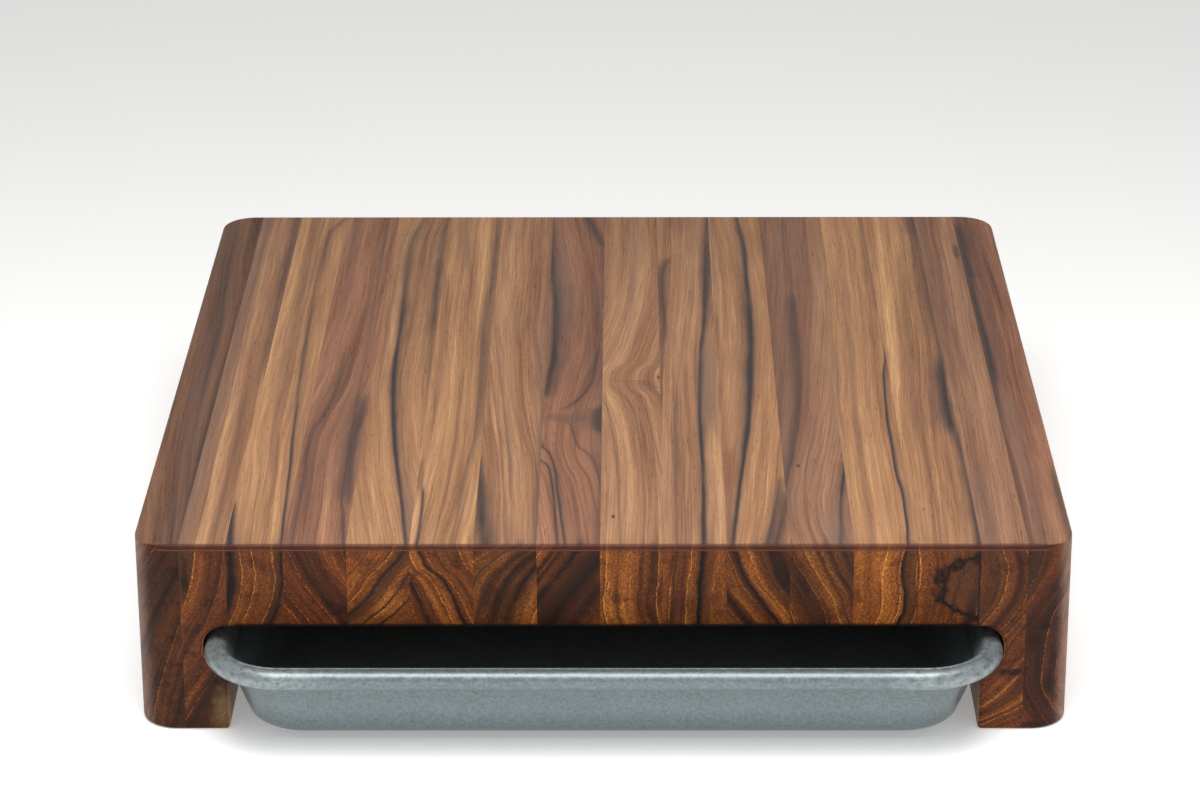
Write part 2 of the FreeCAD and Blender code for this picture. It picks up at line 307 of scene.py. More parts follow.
    def bell(self, value: Signal, middle: float, width: float) -> Signal:
        """A bump that is 1 at its middle and falls off as exp(-d*d) with the distance over its width."""
        off = (value - middle) / width
        return self.math("EXPONENT", off * off * -1.0)

    def bumps(self, height: Signal, depth: float, strength: float = 1.0) -> Signal:
        """The normal of a surface with small bumps.

        Args:
            height: The bumps' height from 0 to 1.
            depth: The height that 1 stands for, in metres.
            strength: How far the normal follows them.

        Returns:
            The normal.
        """
        made = self.node("Bump")
        made.inputs["Strength"].default_value = strength
        made.inputs["Distance"].default_value = depth
        self.feed(made.inputs["Height"], height)
        return Signal(self, made.outputs[0])

    def ramp(self, value: Signal, stops: tuple) -> Signal:
        """A colour that runs through stops.

        Args:
            value: The place between the stops, from 0 to 1.
            stops: The stops as (place, red, green, blue).

        Returns:
            The colour.
        """
        made = self.node("ValToRGB")
        self.feed(made.inputs[0], value)
        elements = made.color_ramp.elements
        while len(elements) < len(stops):
            elements.new(0.5)
        for element, (place, *colour) in zip(elements, stops):
            element.position = place
            element.color = (*colour, 1.0)
        return Signal(self, made.outputs[0])

    def curve(self, value: Signal, points: tuple, low: float, high: float) -> Signal:
        """A smooth function through given points.

        Args:
            value: The number that the function is taken of.
            points: Pairs of (value, result).
            low: Lowest value that the curve covers.
            high: Highest value that it covers.

        Returns:
            The function's result, which holds its last value beyond the ends.
        """
        made = self.node("FloatCurve")
        base, span = self.draw(made.mapping.curves[0], points, low, high)
        made.mapping.update()
        share = self.math("MULTIPLY_ADD", value, 1 / (high - low), low / (low - high))
        self.feed(made.inputs["Value"], share)
        return self.math("MULTIPLY_ADD", Signal(self, made.outputs[0]), span, base)

    def curves(self, share: Signal, rows: tuple, low: float, high: float) -> list:
        """Three smooth functions of one value, in one node.

        Args:
            share: The value as a share of the way from low to high, three times over.
            rows: Rows of (value, first result, second, third).
            low: Lowest value that the curves cover.
            high: Highest value that they cover.

        Returns:
            The three results.
        """
        made = self.node("RGBCurve")
        columns = [[(row[0], row[n + 1]) for row in rows] for n in range(3)]
        scales = [self.draw(line, points, low, high) for line, points in zip(made.mapping.curves, columns)]
        made.mapping.update()
        self.feed(made.inputs["Color"], share)
        parts = self.split(Signal(self, made.outputs[0]))
        return [self.math("MULTIPLY_ADD", part, span, base) for part, (base, span) in zip(parts, scales)]

    def draw(self, line: bpy.types.CurveMap, points: list, low: float, high: float) -> tuple[float, float]:
        """Set a curve's points, scaled to the unit square.

        Args:
            line: The curve.
            points: Pairs of (value, result).
            low: Lowest value that the curve covers.
            high: Highest value that it covers.

        Returns:
            The lowest result, and the span that the unit square stands for.
        """
        results = [result for _, result in points]
        base, span = min(results), max(max(results) - min(results), LEAST_SPAN)
        spots = sorted(((v - low) / (high - low), (r - base) / span) for v, r in points)
        if spots[0][0] > CURVE_END:
            spots.insert(0, (0.0, spots[0][1]))
        if spots[-1][0] < 1 - CURVE_END:
            spots.append((1.0, spots[-1][1]))
        while len(line.points) < len(spots):
            line.points.new(0.5, 0.5)
        for spot, (place, height) in zip(line.points, spots):
            spot.location = (min(max(place, 0.0), 1.0), height)
            spot.handle_type = "AUTO_CLAMPED"
        return base, span

    def close(self, **sockets: object) -> bpy.types.Material:
        """End in a Principled shader and the output.

        Args:
            sockets: Values or signals for the shader's sockets, with _ for a space in their names.

        Returns:
            The finished material.
        """
        shader = self.node("BsdfPrincipled")
        for key, value in sockets.items():
            self.feed(shader.inputs[key.replace("_", " ")], value)
        self.tree.links.new(shader.outputs[0], self.node("OutputMaterial").inputs[0])
        return self.material


# ---------------------------------------------------------------------------------------------- teak


class Tint(Enum):
    """Colour of a mark in the wood, on side grain and on end grain. HONEY has none: it lightens the wood."""

    INK = ((0.046, 0.035, 0.035), (0.008, 0.003, 0.002))
    UMBER = ((0.150, 0.080, 0.060), (0.028, 0.009, 0.004))
    RUST = ((0.200, 0.082, 0.045), (0.070, 0.016, 0.005))
    GREY = ((0.195, 0.118, 0.090), (0.050, 0.022, 0.012))
    HONEY = ()
    SAP = ((0.45, 0.30, 0.15), (0.205, 0.125, 0.048))


INK, UMBER, RUST, GREY, HONEY, SAP = Tint


class Tone(Enum):
    """Ground colour of a stave: a multiplier for its red, green and blue."""

    GOLD = (1.10, 1.10, 1.02)
    TAN = (1.00, 1.00, 1.00)
    BROWN = (0.56, 0.55, 0.62)
    RED = (0.91, 0.84, 0.93)
    GREY = (0.88, 0.88, 0.98)


@dataclass(frozen=True)
class Mark:
    """One vein or band of a stave, given where it meets the chopping face.

    Attributes:
        tint: Its colour.
        course: Points of (y, x, half width, strength) along the grain.
        lean: From -1 to 1, the side on which its edge is soft: right above 0.
    """

    tint: Tint
    course: tuple
    lean: float = 0.0


@dataclass(frozen=True)
class Patch:
    """A knot or stain: an ellipsoid with a frayed edge.

    Attributes:
        tint: Its colour.
        middle: Its middle.
        radii: Its radii.
        strength: How much of the tint shows inside.
        rim: How dark a line runs round it.
        fray: How ragged its edge is.
    """

    tint: Tint
    middle: tuple
    radii: tuple
    strength: float
    rim: float = 0.0
    fray: float = 1.0


@dataclass(frozen=True)
class Figure:
    """The figure of one stave.

    Attributes:
        node: The stave's name in the frame.
        tone: Its ground colour.
        level: How light it is.
        fall: Course of the rings down the end grain, as pairs of (z, x shift).
        sway: Course of the grain along the stave, as pairs of (y, x shift).
        marks: Its veins and bands.
        rings: Mean distance between growth rings.
        seed: Where it is cut from the noise.
        patches: Its knots and stains.
        ends: How much lighter its end grain is than the rule.
    """

    node: str
    tone: Tone
    level: float
    fall: tuple
    sway: tuple
    marks: tuple
    rings: float
    seed: float
    patches: tuple = ()
    ends: float = 0.0


@dataclass(frozen=True)
class TeakFinish:
    """Oiled teak with dark veins, worked out through the thickness of a stave.

    Attributes:
        side: Colours of side grain, from dark to light.
        end: Colours of end grain, from dark to light.
        turn: How far the face looks along the grain where side grain passes into end grain.
        slow: Noise that bends the grain over a stave's length.
        slow_reach: How far it bends it.
        ripple: Noise that makes the grain wavy.
        ripple_reach: How far.
        fray: Noise that frays the edge of a mark.
        fray_reach: How far, on side grain.
        fray_end: How much further on end grain.
        spacing: Noise that spreads the growth rings unevenly, over the grain coordinate, seed and y.
        spacing_reach: How many rings it shifts them.
        ring_tone: How far the rings differ in tone.
        ring_tone_drop: How much less on end grain.
        late_power: How late in a ring its dark edge starts.
        late_tone: How dark the edge is.
        late_gain: How much darker on end grain.
        late_range: What the edge is multiplied by in the darkest and in the palest ring.
        pale_limits: Where in a ring its pale first line fades out.
        pale_odds: Which rings have such a line: none below, a full one above.
        pale_draw: What is added to a ring's number for that second draw.
        pale_tone: How light the line is.
        broad: Noise of the broad streaks.
        broad_tone: How far they change the tone.
        broad_drop: How much less on end grain.
        thin: Noise of the thin streaks.
        thin_tone: How far they change the tone.
        hair: Noise of the fibres.
        hair_tone: How far they change the tone.
        hair_gain: How much more on end grain.
        smoke: Noise of the dark clouds on end grain.
        smoke_limits: Where a cloud starts, and where it is full.
        smoke_tone: How dark it is.
        pores: Noise of the pores on side grain.
        pore_limits: Where a pore starts, and where it is full.
        pore_tone: How dark it is.
        specks: Noise of the pores on end grain.
        bead_limits: Where a pore starts and ends along a pale line.
        speck_tone: How far they change the tone.
        speck_shade: How far they darken veins too.
        hair_shade: How far the fibres darken veins too.
        fading: Noise that thins out marks along their course.
        fading_limits: Its two limits, and what the mark is multiplied by at each.
        widening: Noise that widens and narrows a mark.
        width_least: Least width of a mark.
        width_reach: How much wider the noise makes it.
        width_end: How much wider it is on end grain.
        ragged: Noise that frays a patch.
        ragged_reach: How far, in radii.
        patch_edge: Where a patch starts to fade and where it ends, in radii.
        rim_place: Where its dark rim lies, in radii.
        rim_width: Half the rim's width, in radii.
        lift: How much lighter a HONEY mark makes the wood.
        lift_side: Share of that on side grain.
        halo: Strength of the brown halo round an INK mark.
        halo_fall: How fast it falls off across the mark.
        corner: Colour of the painted shade on the end grain's eased upper edge.
        painted_highlight: Colour of the painted highlight, a fine pale line along that edge.
        painted_mouth_shade: Colour of the painted shade inside the mouth of an opening.
        painted_edge_shares: How much of corner, painted_highlight and painted_mouth_shade shows.
        opening_x: Half the width of an opening.
        opening_z: Height of an opening.
        rough: Roughness, and what dark wood, pores and fibres add to it.
        relief: Height of the fibres, in metres.
        relief_share: How far the light follows them.
        pore_depth: Depth of the pores against the fibres.
        gloss: The shader's specular level.
    """

    side: tuple = (
        (0.0, 0.084, 0.037, 0.021),
        (0.35, 0.244, 0.116, 0.061),
        (0.65, 0.389, 0.200, 0.104),
        (1.0, 0.625, 0.360, 0.170),
    )
    end: tuple = (
        (0.0, 0.016, 0.006, 0.003),
        (0.3, 0.073, 0.020, 0.006),
        (0.6, 0.162, 0.043, 0.008),
        (0.85, 0.310, 0.098, 0.016),
        (1.0, 0.520, 0.200, 0.040),
    )
    turn: tuple = (0.55, 0.85)
    slow: Lumps = Lumps(34, 130, 34, 1)
    slow_reach: float = 5.0
    ripple: Lumps = Lumps(7, 55, 7)
    ripple_reach: float = 1.2
    fray: Lumps = Lumps(1.9, 16, 1.9, 3, 0.6)
    fray_reach: float = 0.4
    fray_end: float = 0.5
    spacing: Lumps = Lumps(9, 1, 500, 0)
    spacing_reach: float = 1.6
    ring_tone: float = 0.13
    ring_tone_drop: float = 0.03
    late_power: float = 3.0
    late_tone: float = 0.10
    late_gain: float = 0.06
    late_range: tuple = (1.2, 0.5)
    pale_limits: tuple = (0.02, 0.10)
    pale_odds: tuple = (0.3, 0.8)
    pale_draw: float = 0.37
    pale_tone: float = 0.50
    broad: Lumps = Lumps(6, 210, 90)
    broad_tone: float = 0.70
    broad_drop: float = 0.30
    thin: Lumps = Lumps(1.3, 90, 14, 2, 0.6)
    thin_tone: float = 0.55
    hair: Lumps = Lumps(0.33, 26, 1.2, 2, 0.65)
    hair_tone: float = 0.52
    hair_gain: float = 0.13
    smoke: Lumps = Lumps(7, 60, 5, 2, 0.6)
    smoke_limits: tuple = (0.52, 0.72)
    smoke_tone: float = 0.20
    pores: Lumps = Lumps(0.36, 5.5, 0.36, 1)
    pore_limits: tuple = (0.62, 0.76)
    pore_tone: float = 0.22
    specks: Lumps = Lumps(0.55, 0.55, 0.55, 1, 0.7)
    bead_limits: tuple = (0.30, 0.55)
    speck_tone: float = 0.40
    speck_shade: float = 0.9
    hair_shade: float = 0.3
    fading: Lumps = Lumps(9, 45, 9, 2, 0.6)
    fading_limits: tuple = (0.25, 0.55, 0.8, 1.15)
    widening: Lumps = Lumps(9, 22, 9, 2, 0.6)
    width_least: float = 0.55
    width_reach: float = 1.0
    width_end: float = 0.4
    ragged: Lumps = Lumps(5, 9, 5, 3, 0.55)
    ragged_reach: float = 1.3
    patch_edge: tuple = (0.4, 1.2)
    rim_place: float = 0.95
    rim_width: float = 0.13
    lift: float = 0.26
    lift_side: float = 0.6
    halo: float = 0.45
    halo_fall: float = 0.09
    corner: tuple = (0.060, 0.012, 0.006)
    painted_highlight: tuple = (0.150, 0.095, 0.070)
    painted_mouth_shade: tuple = (0.012, 0.006, 0.004)
    painted_edge_shares: tuple = (0.75, 0.45, 0.85)
    opening_x: float = 114.0
    opening_z: float = 35.3
    rough: tuple = (0.40, 0.10, 0.12, 0.10)
    relief: float = 0.00006
    relief_share: float = 0.35
    pore_depth: float = 0.8
    gloss: float = 0.15

    def material(self, figure: Figure) -> bpy.types.Material:
        """Build one stave's material.

        The tone is a sum of noises: the growth ring's own tone, its late edge, and streaks of every
        width, long along the grain. A ramp turns it into colour, one for side grain and one for end
        grain, and the veins, knots and stains are laid over that.

        Args:
            figure: The stave's figure.

        Returns:
            The material.
        """
        g = Graph("teak_" + figure.node)
        x, y, z = place = g.place()
        seed = figure.seed
        end = g.step(g.math("ABSOLUTE", g.facing()[1]), *self.turn)
        line, grain = self.courses(g, figure, place, end)
        own, late, start = self.growth(g, figure, grain, y)

        broad = g.noise((grain, y, z), self.broad, seed)
        thin = g.noise((grain, y, z), self.thin, seed)
        hair = g.noise((grain, y, z), self.hair, seed)
        smoke = g.step(g.noise(place, self.smoke, seed), *self.smoke_limits)
        pore = g.step(g.noise(place, self.pores, seed), *self.pore_limits)
        speck = g.noise((x, z, y), self.specks, seed)
        body = (
            figure.level
            + (own - 0.5) * (self.ring_tone - self.ring_tone_drop * end)
            - late * (self.late_tone + self.late_gain * end) * g.step(own, 0.0, 1.0, *self.late_range)
            + (figure.ends - smoke * self.smoke_tone) * end
            + (broad - 0.5) * (self.broad_tone - self.broad_drop * end)
            + (thin - 0.5) * self.thin_tone
            + (hair - 0.5) * (self.hair_tone + self.hair_gain * end)
        )
        fading = g.step(g.noise(place, self.fading, seed), *self.fading_limits)
        veins = self.veins(g, figure, place, line, end)
        stains = self.stains(g, figure, place)
        for mark, share, _, _ in veins:
            if mark.tint is HONEY:
                body = body + share * fading * (self.lift_side + (1 - self.lift_side) * end) * self.lift
        for patch, _, cover in stains:
            if patch.tint is HONEY:
                body = body + cover * self.lift

        side_wood = g.ramp(body - pore * self.pore_tone, self.side)
        beads = start * g.step(speck, *self.bead_limits)
        end_wood = g.ramp(body + beads * self.pale_tone + (speck - 0.5) * self.speck_tone, self.end)
        wood = g.mix(1.0, g.mix(end, side_wood, end_wood), figure.tone.value, "MULTIPLY")

        tints = {tint: g.mix(end, *tint.value) for tint in Tint if tint is not HONEY}
        for mark, share, ratio, strong in veins:
            if mark.tint is INK:
                halo = g.math("EXPONENT", ratio * ratio * -self.halo_fall) * strong * self.halo
                wood = g.mix(halo * fading, wood, tints[UMBER])
            if mark.tint is not HONEY:
                wood = g.mix(share * fading, wood, tints[mark.tint])
        for patch, away, cover in stains:
            if patch.tint is not HONEY:
                wood = g.mix(cover, wood, tints[patch.tint])
            if patch.rim:
                wood = g.mix(g.bell(away, self.rim_place, self.rim_width) * patch.rim, wood, tints[INK])
        wood = g.shaded(wood, 1.0 + (speck - 0.5) * self.speck_shade * end + (hair - 0.5) * self.hair_shade)

        least, dark, open_pore, fibre = self.rough
        return g.close(
            Base_Color=self.paint_edge_light_and_shade(g, wood, place),
            Roughness=least + (1.0 - body) * dark + pore * open_pore + (hair - 0.5) * fibre,
            Normal=g.bumps((hair + thin) * 0.5 - pore * self.pore_depth, self.relief, self.relief_share),
            Specular_IOR_Level=self.gloss,
        )

    def courses(self, g: Graph, figure: Figure, place: tuple, end: Signal) -> tuple[Signal, Signal]:
        """Courses of the grain through a stave.

        The grain coordinate is x, less the stave's sway along y and its fall down z, plus noise that is
        stretched along the grain.

        Args:
            g: The material's graph.
            figure: The stave's figure.
            place: The point's x, y and z.
            end: How much of it is end grain.

        Returns:
            The coordinate that the marks follow, which leaves sway and slow bends to their own courses,
            and the one that the rings and streaks follow.
        """
        x, y, z = place
        slow = (g.noise(place, self.slow, figure.seed) - 0.5) * self.slow_reach
        ripple = (g.noise(place, self.ripple, figure.seed) - 0.5) * self.ripple_reach
        fray_reach = self.fray_reach + self.fray_end * end
        fray = (g.noise(place, self.fray, figure.seed) - 0.5) * fray_reach
        drift = g.curve(y, figure.sway, FRONT_Y, REAR_Y)
        line = x + ripple + fray - g.curve(z, figure.fall, 0.0, TOP_Z)
        return line, line - drift + slow

    def growth(self, g: Graph, figure: Figure, grain: Signal, y: Signal) -> tuple[Signal, Signal, Signal]:
        """Growth rings.

        They are the whole numbers of the grain coordinate over their mean distance, plus a slow noise
        that makes some wide and some narrow.

        Args:
            g: The material's graph.
            figure: The stave's figure.
            grain: The grain coordinate.
            y: The point's place along the stave.

        Returns:
            A ring's own tone, how far its dark late edge has set in, and the pale line where it starts.
        """
        uneven = g.noise((grain, figure.seed, y), self.spacing, figure.seed) * self.spacing_reach
        stretch = grain / figure.rings + (uneven + figure.seed)
        ring = g.math("FLOOR", stretch)
        phase = g.math("FRACT", stretch)
        pale = g.step(g.chance(ring + self.pale_draw), *self.pale_odds)
        start = g.step(phase, *self.pale_limits, 1.0, 0.0) * pale
        return g.chance(ring), g.math("POWER", phase, self.late_power), start

    def veins(self, g: Graph, figure: Figure, place: tuple, line: Signal, end: Signal) -> list:
        """How much of each mark's tint shows at a point.

        It falls off as exp(-d*d) with the distance d across the grain from the mark's course, over its
        half width there. The half width is larger on the soft side.

        Args:
            g: The material's graph.
            figure: The stave's figure.
            place: The point's x, y and z.
            line: The grain coordinate that marks follow.
            end: How much of the point is end grain.

        Returns:
            For each mark: the mark, its share from 0 to 1, the distance d, and its strength there.
        """
        along = (place[1] - FRONT_Y) / LENGTH
        along = g.point(along, along, along)
        noise = g.noise(place, self.widening, figure.seed)
        widen = (1.0 + self.width_end * end) * (self.width_least + self.width_reach * noise)
        veins = []
        for mark in figure.marks:
            middle, half, strong = g.curves(along, mark.course, FRONT_Y, REAR_Y)
            half = half * widen
            away = line - middle
            if mark.lean:
                half = half * (1.0 + g.math("SIGN", away) * mark.lean)
            ratio = away / half
            share = g.math("EXPONENT", ratio * ratio * -1.0) * strong
            veins.append((mark, share, ratio, strong))
        return veins

    def stains(self, g: Graph, figure: Figure, place: tuple) -> list:
        """How much of each patch's tint shows at a point.

        Args:
            g: The material's graph.
            figure: The stave's figure.
            place: The point's x, y and z.

        Returns:
            For each patch: the patch, how far the point lies from its middle in radii, with the ragged
            edge added, and its share from 0 to 1.
        """
        noise = g.noise(place, self.ragged, figure.seed)
        ragged = noise * self.ragged_reach - self.ragged_reach / 2
        stains = []
        for patch in figure.patches:
            parts = [(p - m) / r for p, m, r in zip(place, patch.middle, patch.radii)]
            squares = [part * part for part in parts]
            away = g.math("SQRT", squares[0] + squares[1] + squares[2]) + ragged * patch.fray
            stains.append((patch, away, g.step(away, *self.patch_edge, patch.strength, 0.0)))
        return stains

    def paint_edge_light_and_shade(self, g: Graph, wood: Signal, place: tuple) -> Signal:
        """Paint shade on the end grain's eased upper edge, a highlight line along it, and shade in the
        openings' mouths.

        Args:
            g: The material's graph.
            wood: The wood's colour.
            place: The point's x, y and z.

        Returns:
            The colour.
        """
        x, y, z = place
        out = g.math("ABSOLUTE", y)
        # Painted shade: a dark band along the eased upper edge of the end grain.
        corner = g.near(out, REAR_Y, 1.45, 0.65) * g.near(z, TOP_Z, 2.6, 1.4)
        # Painted highlight: a fine pale line along that edge.
        painted_highlight = g.near(out, REAR_Y, 1.05, 0.55) * g.near(z, TOP_Z, 2.1, 1.8)
        painted_highlight = painted_highlight * g.step(z, TOP_Z - 1.7, TOP_Z - 1.4, 1.0, 0.0)
        # Painted shade inside the mouths of the openings, where the eased edge lies in shadow.
        mouth = g.near(out, REAR_Y, 1.85, 1.05)
        mouth = mouth * g.step(z, self.opening_z, self.opening_z + 1.1, 1.0, 0.0)
        mouth = mouth * g.step(g.math("ABSOLUTE", x), self.opening_x - 3.0, self.opening_x, 1.0, 0.0)
        tints = (self.corner, self.painted_highlight, self.painted_mouth_shade)
        for mask, share, tint in zip((corner, painted_highlight, mouth), self.painted_edge_shares, tints):
            wood = g.mix(mask * share, wood, tint)
        return wood


# --------------------------------------------------------------------------------------------- metal


@dataclass(frozen=True)
class AluminiumFinish:
    """Bare drawn aluminium: satin, finely speckled, scuffed along the rim.

    Attributes:
        colour: Colour of the skin.
        worn_colour: Colour where it is rubbed bright.
        metallic: How far it mirrors as metal does. The rest scatters light, as an etched skin does.
        rim_z: Height from which a tray's rim is scuffed.
        rim_fade: Height over which the scuffs set in.
        corner_x: Half width from which its corners are scuffed most.
        corner_fade: Width over which that sets in.
        grain: Noise of the fine speckle.
        cloud: Noise of the slow clouds.
        scuff: Noise of the scuffs.
        drawn: Noise of the upright lines that drawing leaves in the wall.
        pits: Noise of the dark pits.
        pit_limits: Where a pit starts, and where it is full.
        worn_limits: Where a scuff starts, and where it is full.
        worn_corner: What is added to the noise at the corners.
        worn_share: How much of worn_colour a scuff shows, and how much more at the corners.
        reflection_band_z: Height of a painted reflection, a lighter band round the wall.
        reflection_band_width: Half its width.
        shade: Tone of the skin before noise.
        tones: How far cloud, grain and drawn lines change the tone.
        reflection_band_tone: How light that painted reflection is.
        pit_tone: How dark a pit is.
        painted_light_z: Height below which painted light makes the wall lighter towards the bottom.
        painted_light_tone: How much lighter, per millimetre.
        painted_bowl_light: How much lighter the floor and the wall are painted inside, as painted light.
        bowl_limits: How far up a face looks where it starts to count as inside, and where it does.
        bowl_edge: How far below the rim's scuffs it starts to fade out, and where it ends.
        rough: Roughness, and what clouds, grain and scuffs add to it.
        bumps: Height of grain, scuffs and drawn lines against each other.
        relief: Their height, in metres.
        relief_share: How far the light follows them.
    """

    colour: tuple = (0.182, 0.217, 0.226)
    worn_colour: tuple = (0.37, 0.41, 0.42)
    metallic: float = 0.5
    rim_z: float = 23.0
    rim_fade: float = 1.5
    corner_x: float = 100.0
    corner_fade: float = 22.0
    grain: Lumps = Lumps(1.0, 1.0, 1.0, 2, 0.75)
    cloud: Lumps = Lumps(18, 18, 9, 3)
    scuff: Lumps = Lumps(2.6, 2.6, 1.5, 4, 0.7)
    drawn: Lumps = Lumps(0.8, 0.8, 14)
    pits: Lumps = Lumps(0.7, 0.7, 0.7, 0)
    pit_limits: tuple = (0.70, 0.80)
    worn_limits: tuple = (0.42, 0.72)
    worn_corner: float = 0.10
    worn_share: tuple = (0.25, 0.40)
    reflection_band_z: float = 13.5
    reflection_band_width: float = 4.0
    shade: float = 0.86
    tones: tuple = (0.16, 1.10, 0.06)
    reflection_band_tone: float = 0.15
    pit_tone: float = 0.16
    painted_light_z: float = 18.0
    painted_light_tone: float = 0.011
    painted_bowl_light: float = 0.65
    bowl_limits: tuple = (0.05, 0.3)
    bowl_edge: tuple = (3.0, 0.5)
    rough: tuple = (0.33, 0.10, 0.16, 0.08)
    bumps: tuple = (0.6, 1.2, 0.3)
    relief: float = 0.00010
    relief_share: float = 0.35

    def material(self) -> bpy.types.Material:
        """Build the material.

        Fine grain and slow clouds vary its tone. A lighter band painted round the drawn wall stands for a
        reflection, and painted light makes the lower wall and the pan's inside lighter. Scuffs gather on the
        rim, most of all round its corners.

        Returns:
            The material.
        """
        g = Graph("tray_aluminium_satin")
        x, _, z = place = g.place()
        noises = (self.grain, self.cloud, self.scuff, self.drawn, self.pits)
        grain, cloud, scuff, drawn, pits = [g.noise(place, lumps) for lumps in noises]
        rim = g.near(z, self.rim_z, 0.0, -self.rim_fade)
        corner = g.near(g.math("ABSOLUTE", x), self.corner_x, self.corner_fade)
        worn = g.step(scuff + corner * self.worn_corner, *self.worn_limits) * rim
        tone = self.shade
        for noise, strength in zip((cloud, grain, drawn), self.tones):
            tone = tone + (noise - 0.5) * strength
        # Painted reflection: a lighter band round the wall.
        tone = tone + g.bell(z, self.reflection_band_z, self.reflection_band_width) * self.reflection_band_tone
        tone = tone - g.step(pits, *self.pit_limits) * self.pit_tone
        # Painted light: the wall is made lighter towards the bottom.
        tone = tone + g.math("MAXIMUM", self.painted_light_z - z, 0.0) * self.painted_light_tone
        # Painted light: the upward-facing floor and wall inside the pan are made lighter.
        start, stop = (self.rim_z - below for below in self.bowl_edge)
        inside = g.step(g.facing()[2], *self.bowl_limits) * g.step(z, start, stop, 1.0, 0.0)
        colour = g.shaded(self.colour, tone * (1.0 + inside * self.painted_bowl_light))
        share, corner_share = self.worn_share
        least, cloudy, grainy, worn_rough = self.rough
        low, scuffed, lined = self.bumps
        height = grain * low + scuff * rim * scuffed + drawn * lined
        return g.close(
            Base_Color=g.mix(worn * (share + corner_share * corner), colour, self.worn_colour),
            Metallic=self.metallic,
            Roughness=least + (cloud - 0.5) * cloudy + (grain - 0.5) * grainy + worn * worn_rough,
            Normal=g.bumps(height, self.relief, self.relief_share),
        )


@dataclass(frozen=True)
class WireFinish:
    """Drawn steel wire with a dull skin.

    Attributes:
        colour: Colour of the clean wire.
        dull: Colour of its skin.
        skin: Noise of the skin.
        skin_limits: Where it starts, and where it is full.
        rough: Roughness, and what the skin adds to it.
        lines: Noise of the lines that drawing leaves round it.
        relief: Height of the lines, in metres.
    """

    colour: tuple = (0.33, 0.34, 0.35)
    dull: tuple = (0.20, 0.19, 0.18)
    skin: Lumps = Lumps(1.2, 1.2, 1.2, 4, 0.65)
    skin_limits: tuple = (0.45, 0.70)
    rough: tuple = (0.38, 0.2)
    lines: Lumps = Lumps(6, 6, 0.15, 1)
    relief: float = 0.00005

    def material(self) -> bpy.types.Material:
        """Build the material: clean wire and skin, mixed by noise.

        Returns:
            The material.
        """
        g = Graph("rim_wire_drawn_steel")
        place = g.place()
        skin = g.noise(place, self.skin)
        return g.close(
            Base_Color=g.mix(g.step(skin, *self.skin_limits), self.colour, self.dull),
            Metallic=1.0,
            Roughness=self.rough[0] + skin * self.rough[1],
            Normal=g.bumps(g.noise(place, self.lines), self.relief),
        )


@dataclass(frozen=True)
class FloorFinish:
    """Matt white studio floor, lit a little from below like a light table.

    Attributes:
        colour: Its colour.
        glow: Strength of its own light.
        cloud: Noise that keeps it from being quite even.
        cloud_tone: How far it does.
        shade: Mean tone.
        rough: Roughness.
        gloss: The shader's specular level.
    """

    colour: tuple = (0.93, 0.93, 0.93)
    glow: float = 0.26
    cloud: Lumps = Lumps(400, 400, 400)
    cloud_tone: float = 0.02
    shade: float = 0.99
    rough: float = 0.9
    gloss: float = 0.1

    def material(self) -> bpy.types.Material:
        """Build the material: white with faint clouds and a glow.

        Returns:
            The material.
        """
        g = Graph("studio_floor")
        shade = self.shade + (g.noise(g.place(), self.cloud) - 0.5) * self.cloud_tone
        return g.close(
            Base_Color=g.shaded(self.colour, shade),
            Roughness=self.rough,
            Specular_IOR_Level=self.gloss,
            Emission_Color=(1.0, 1.0, 1.0),
            Emission_Strength=self.glow,
        )


# -------------------------------------------------------------------------------------------- pieces


def grid_faces(rows: int, columns: int) -> np.ndarray:
    """Quads of a grid that closes on itself along its columns.

    Args:
        rows: Number of loops.
        columns: Number of points in a loop.

    Returns:
        Indices, four to a face, wound so that faces look left of the direction of the rows.
    """
    row, column = np.meshgrid(np.arange(rows - 1), np.arange(columns), indexing="ij")
    after = (column + 1) % columns
    corners = (row * columns + column, row * columns + after, (row + 1) * columns + after)
    return np.stack([*corners, (row + 1) * columns + column], -1).reshape(-1, 4)


def new_piece(name: str, points: np.ndarray, faces: list, body: str) -> bpy.types.Object:
    """Make a smooth mesh object at the origin that rides on a body.

    Args:
        name: The piece's name.
        points: Vertices in millimetres.
        faces: Vertex indices of each face.
        body: The body it rides on.

    Returns:
        The object.
    """
    mesh = bpy.data.meshes.new(name)
    mesh.from_pydata((points * MM).tolist(), [], faces)
    mesh.polygons.foreach_set("use_smooth", np.ones(len(mesh.polygons), bool))
    mesh.update()
    piece = bpy.data.objects.new(name, mesh)
    bpy.context.scene.collection.objects.link(piece)
    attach(piece, body)
    log.info("%s: %d faces on %s", name, len(mesh.polygons), body)
    return piece


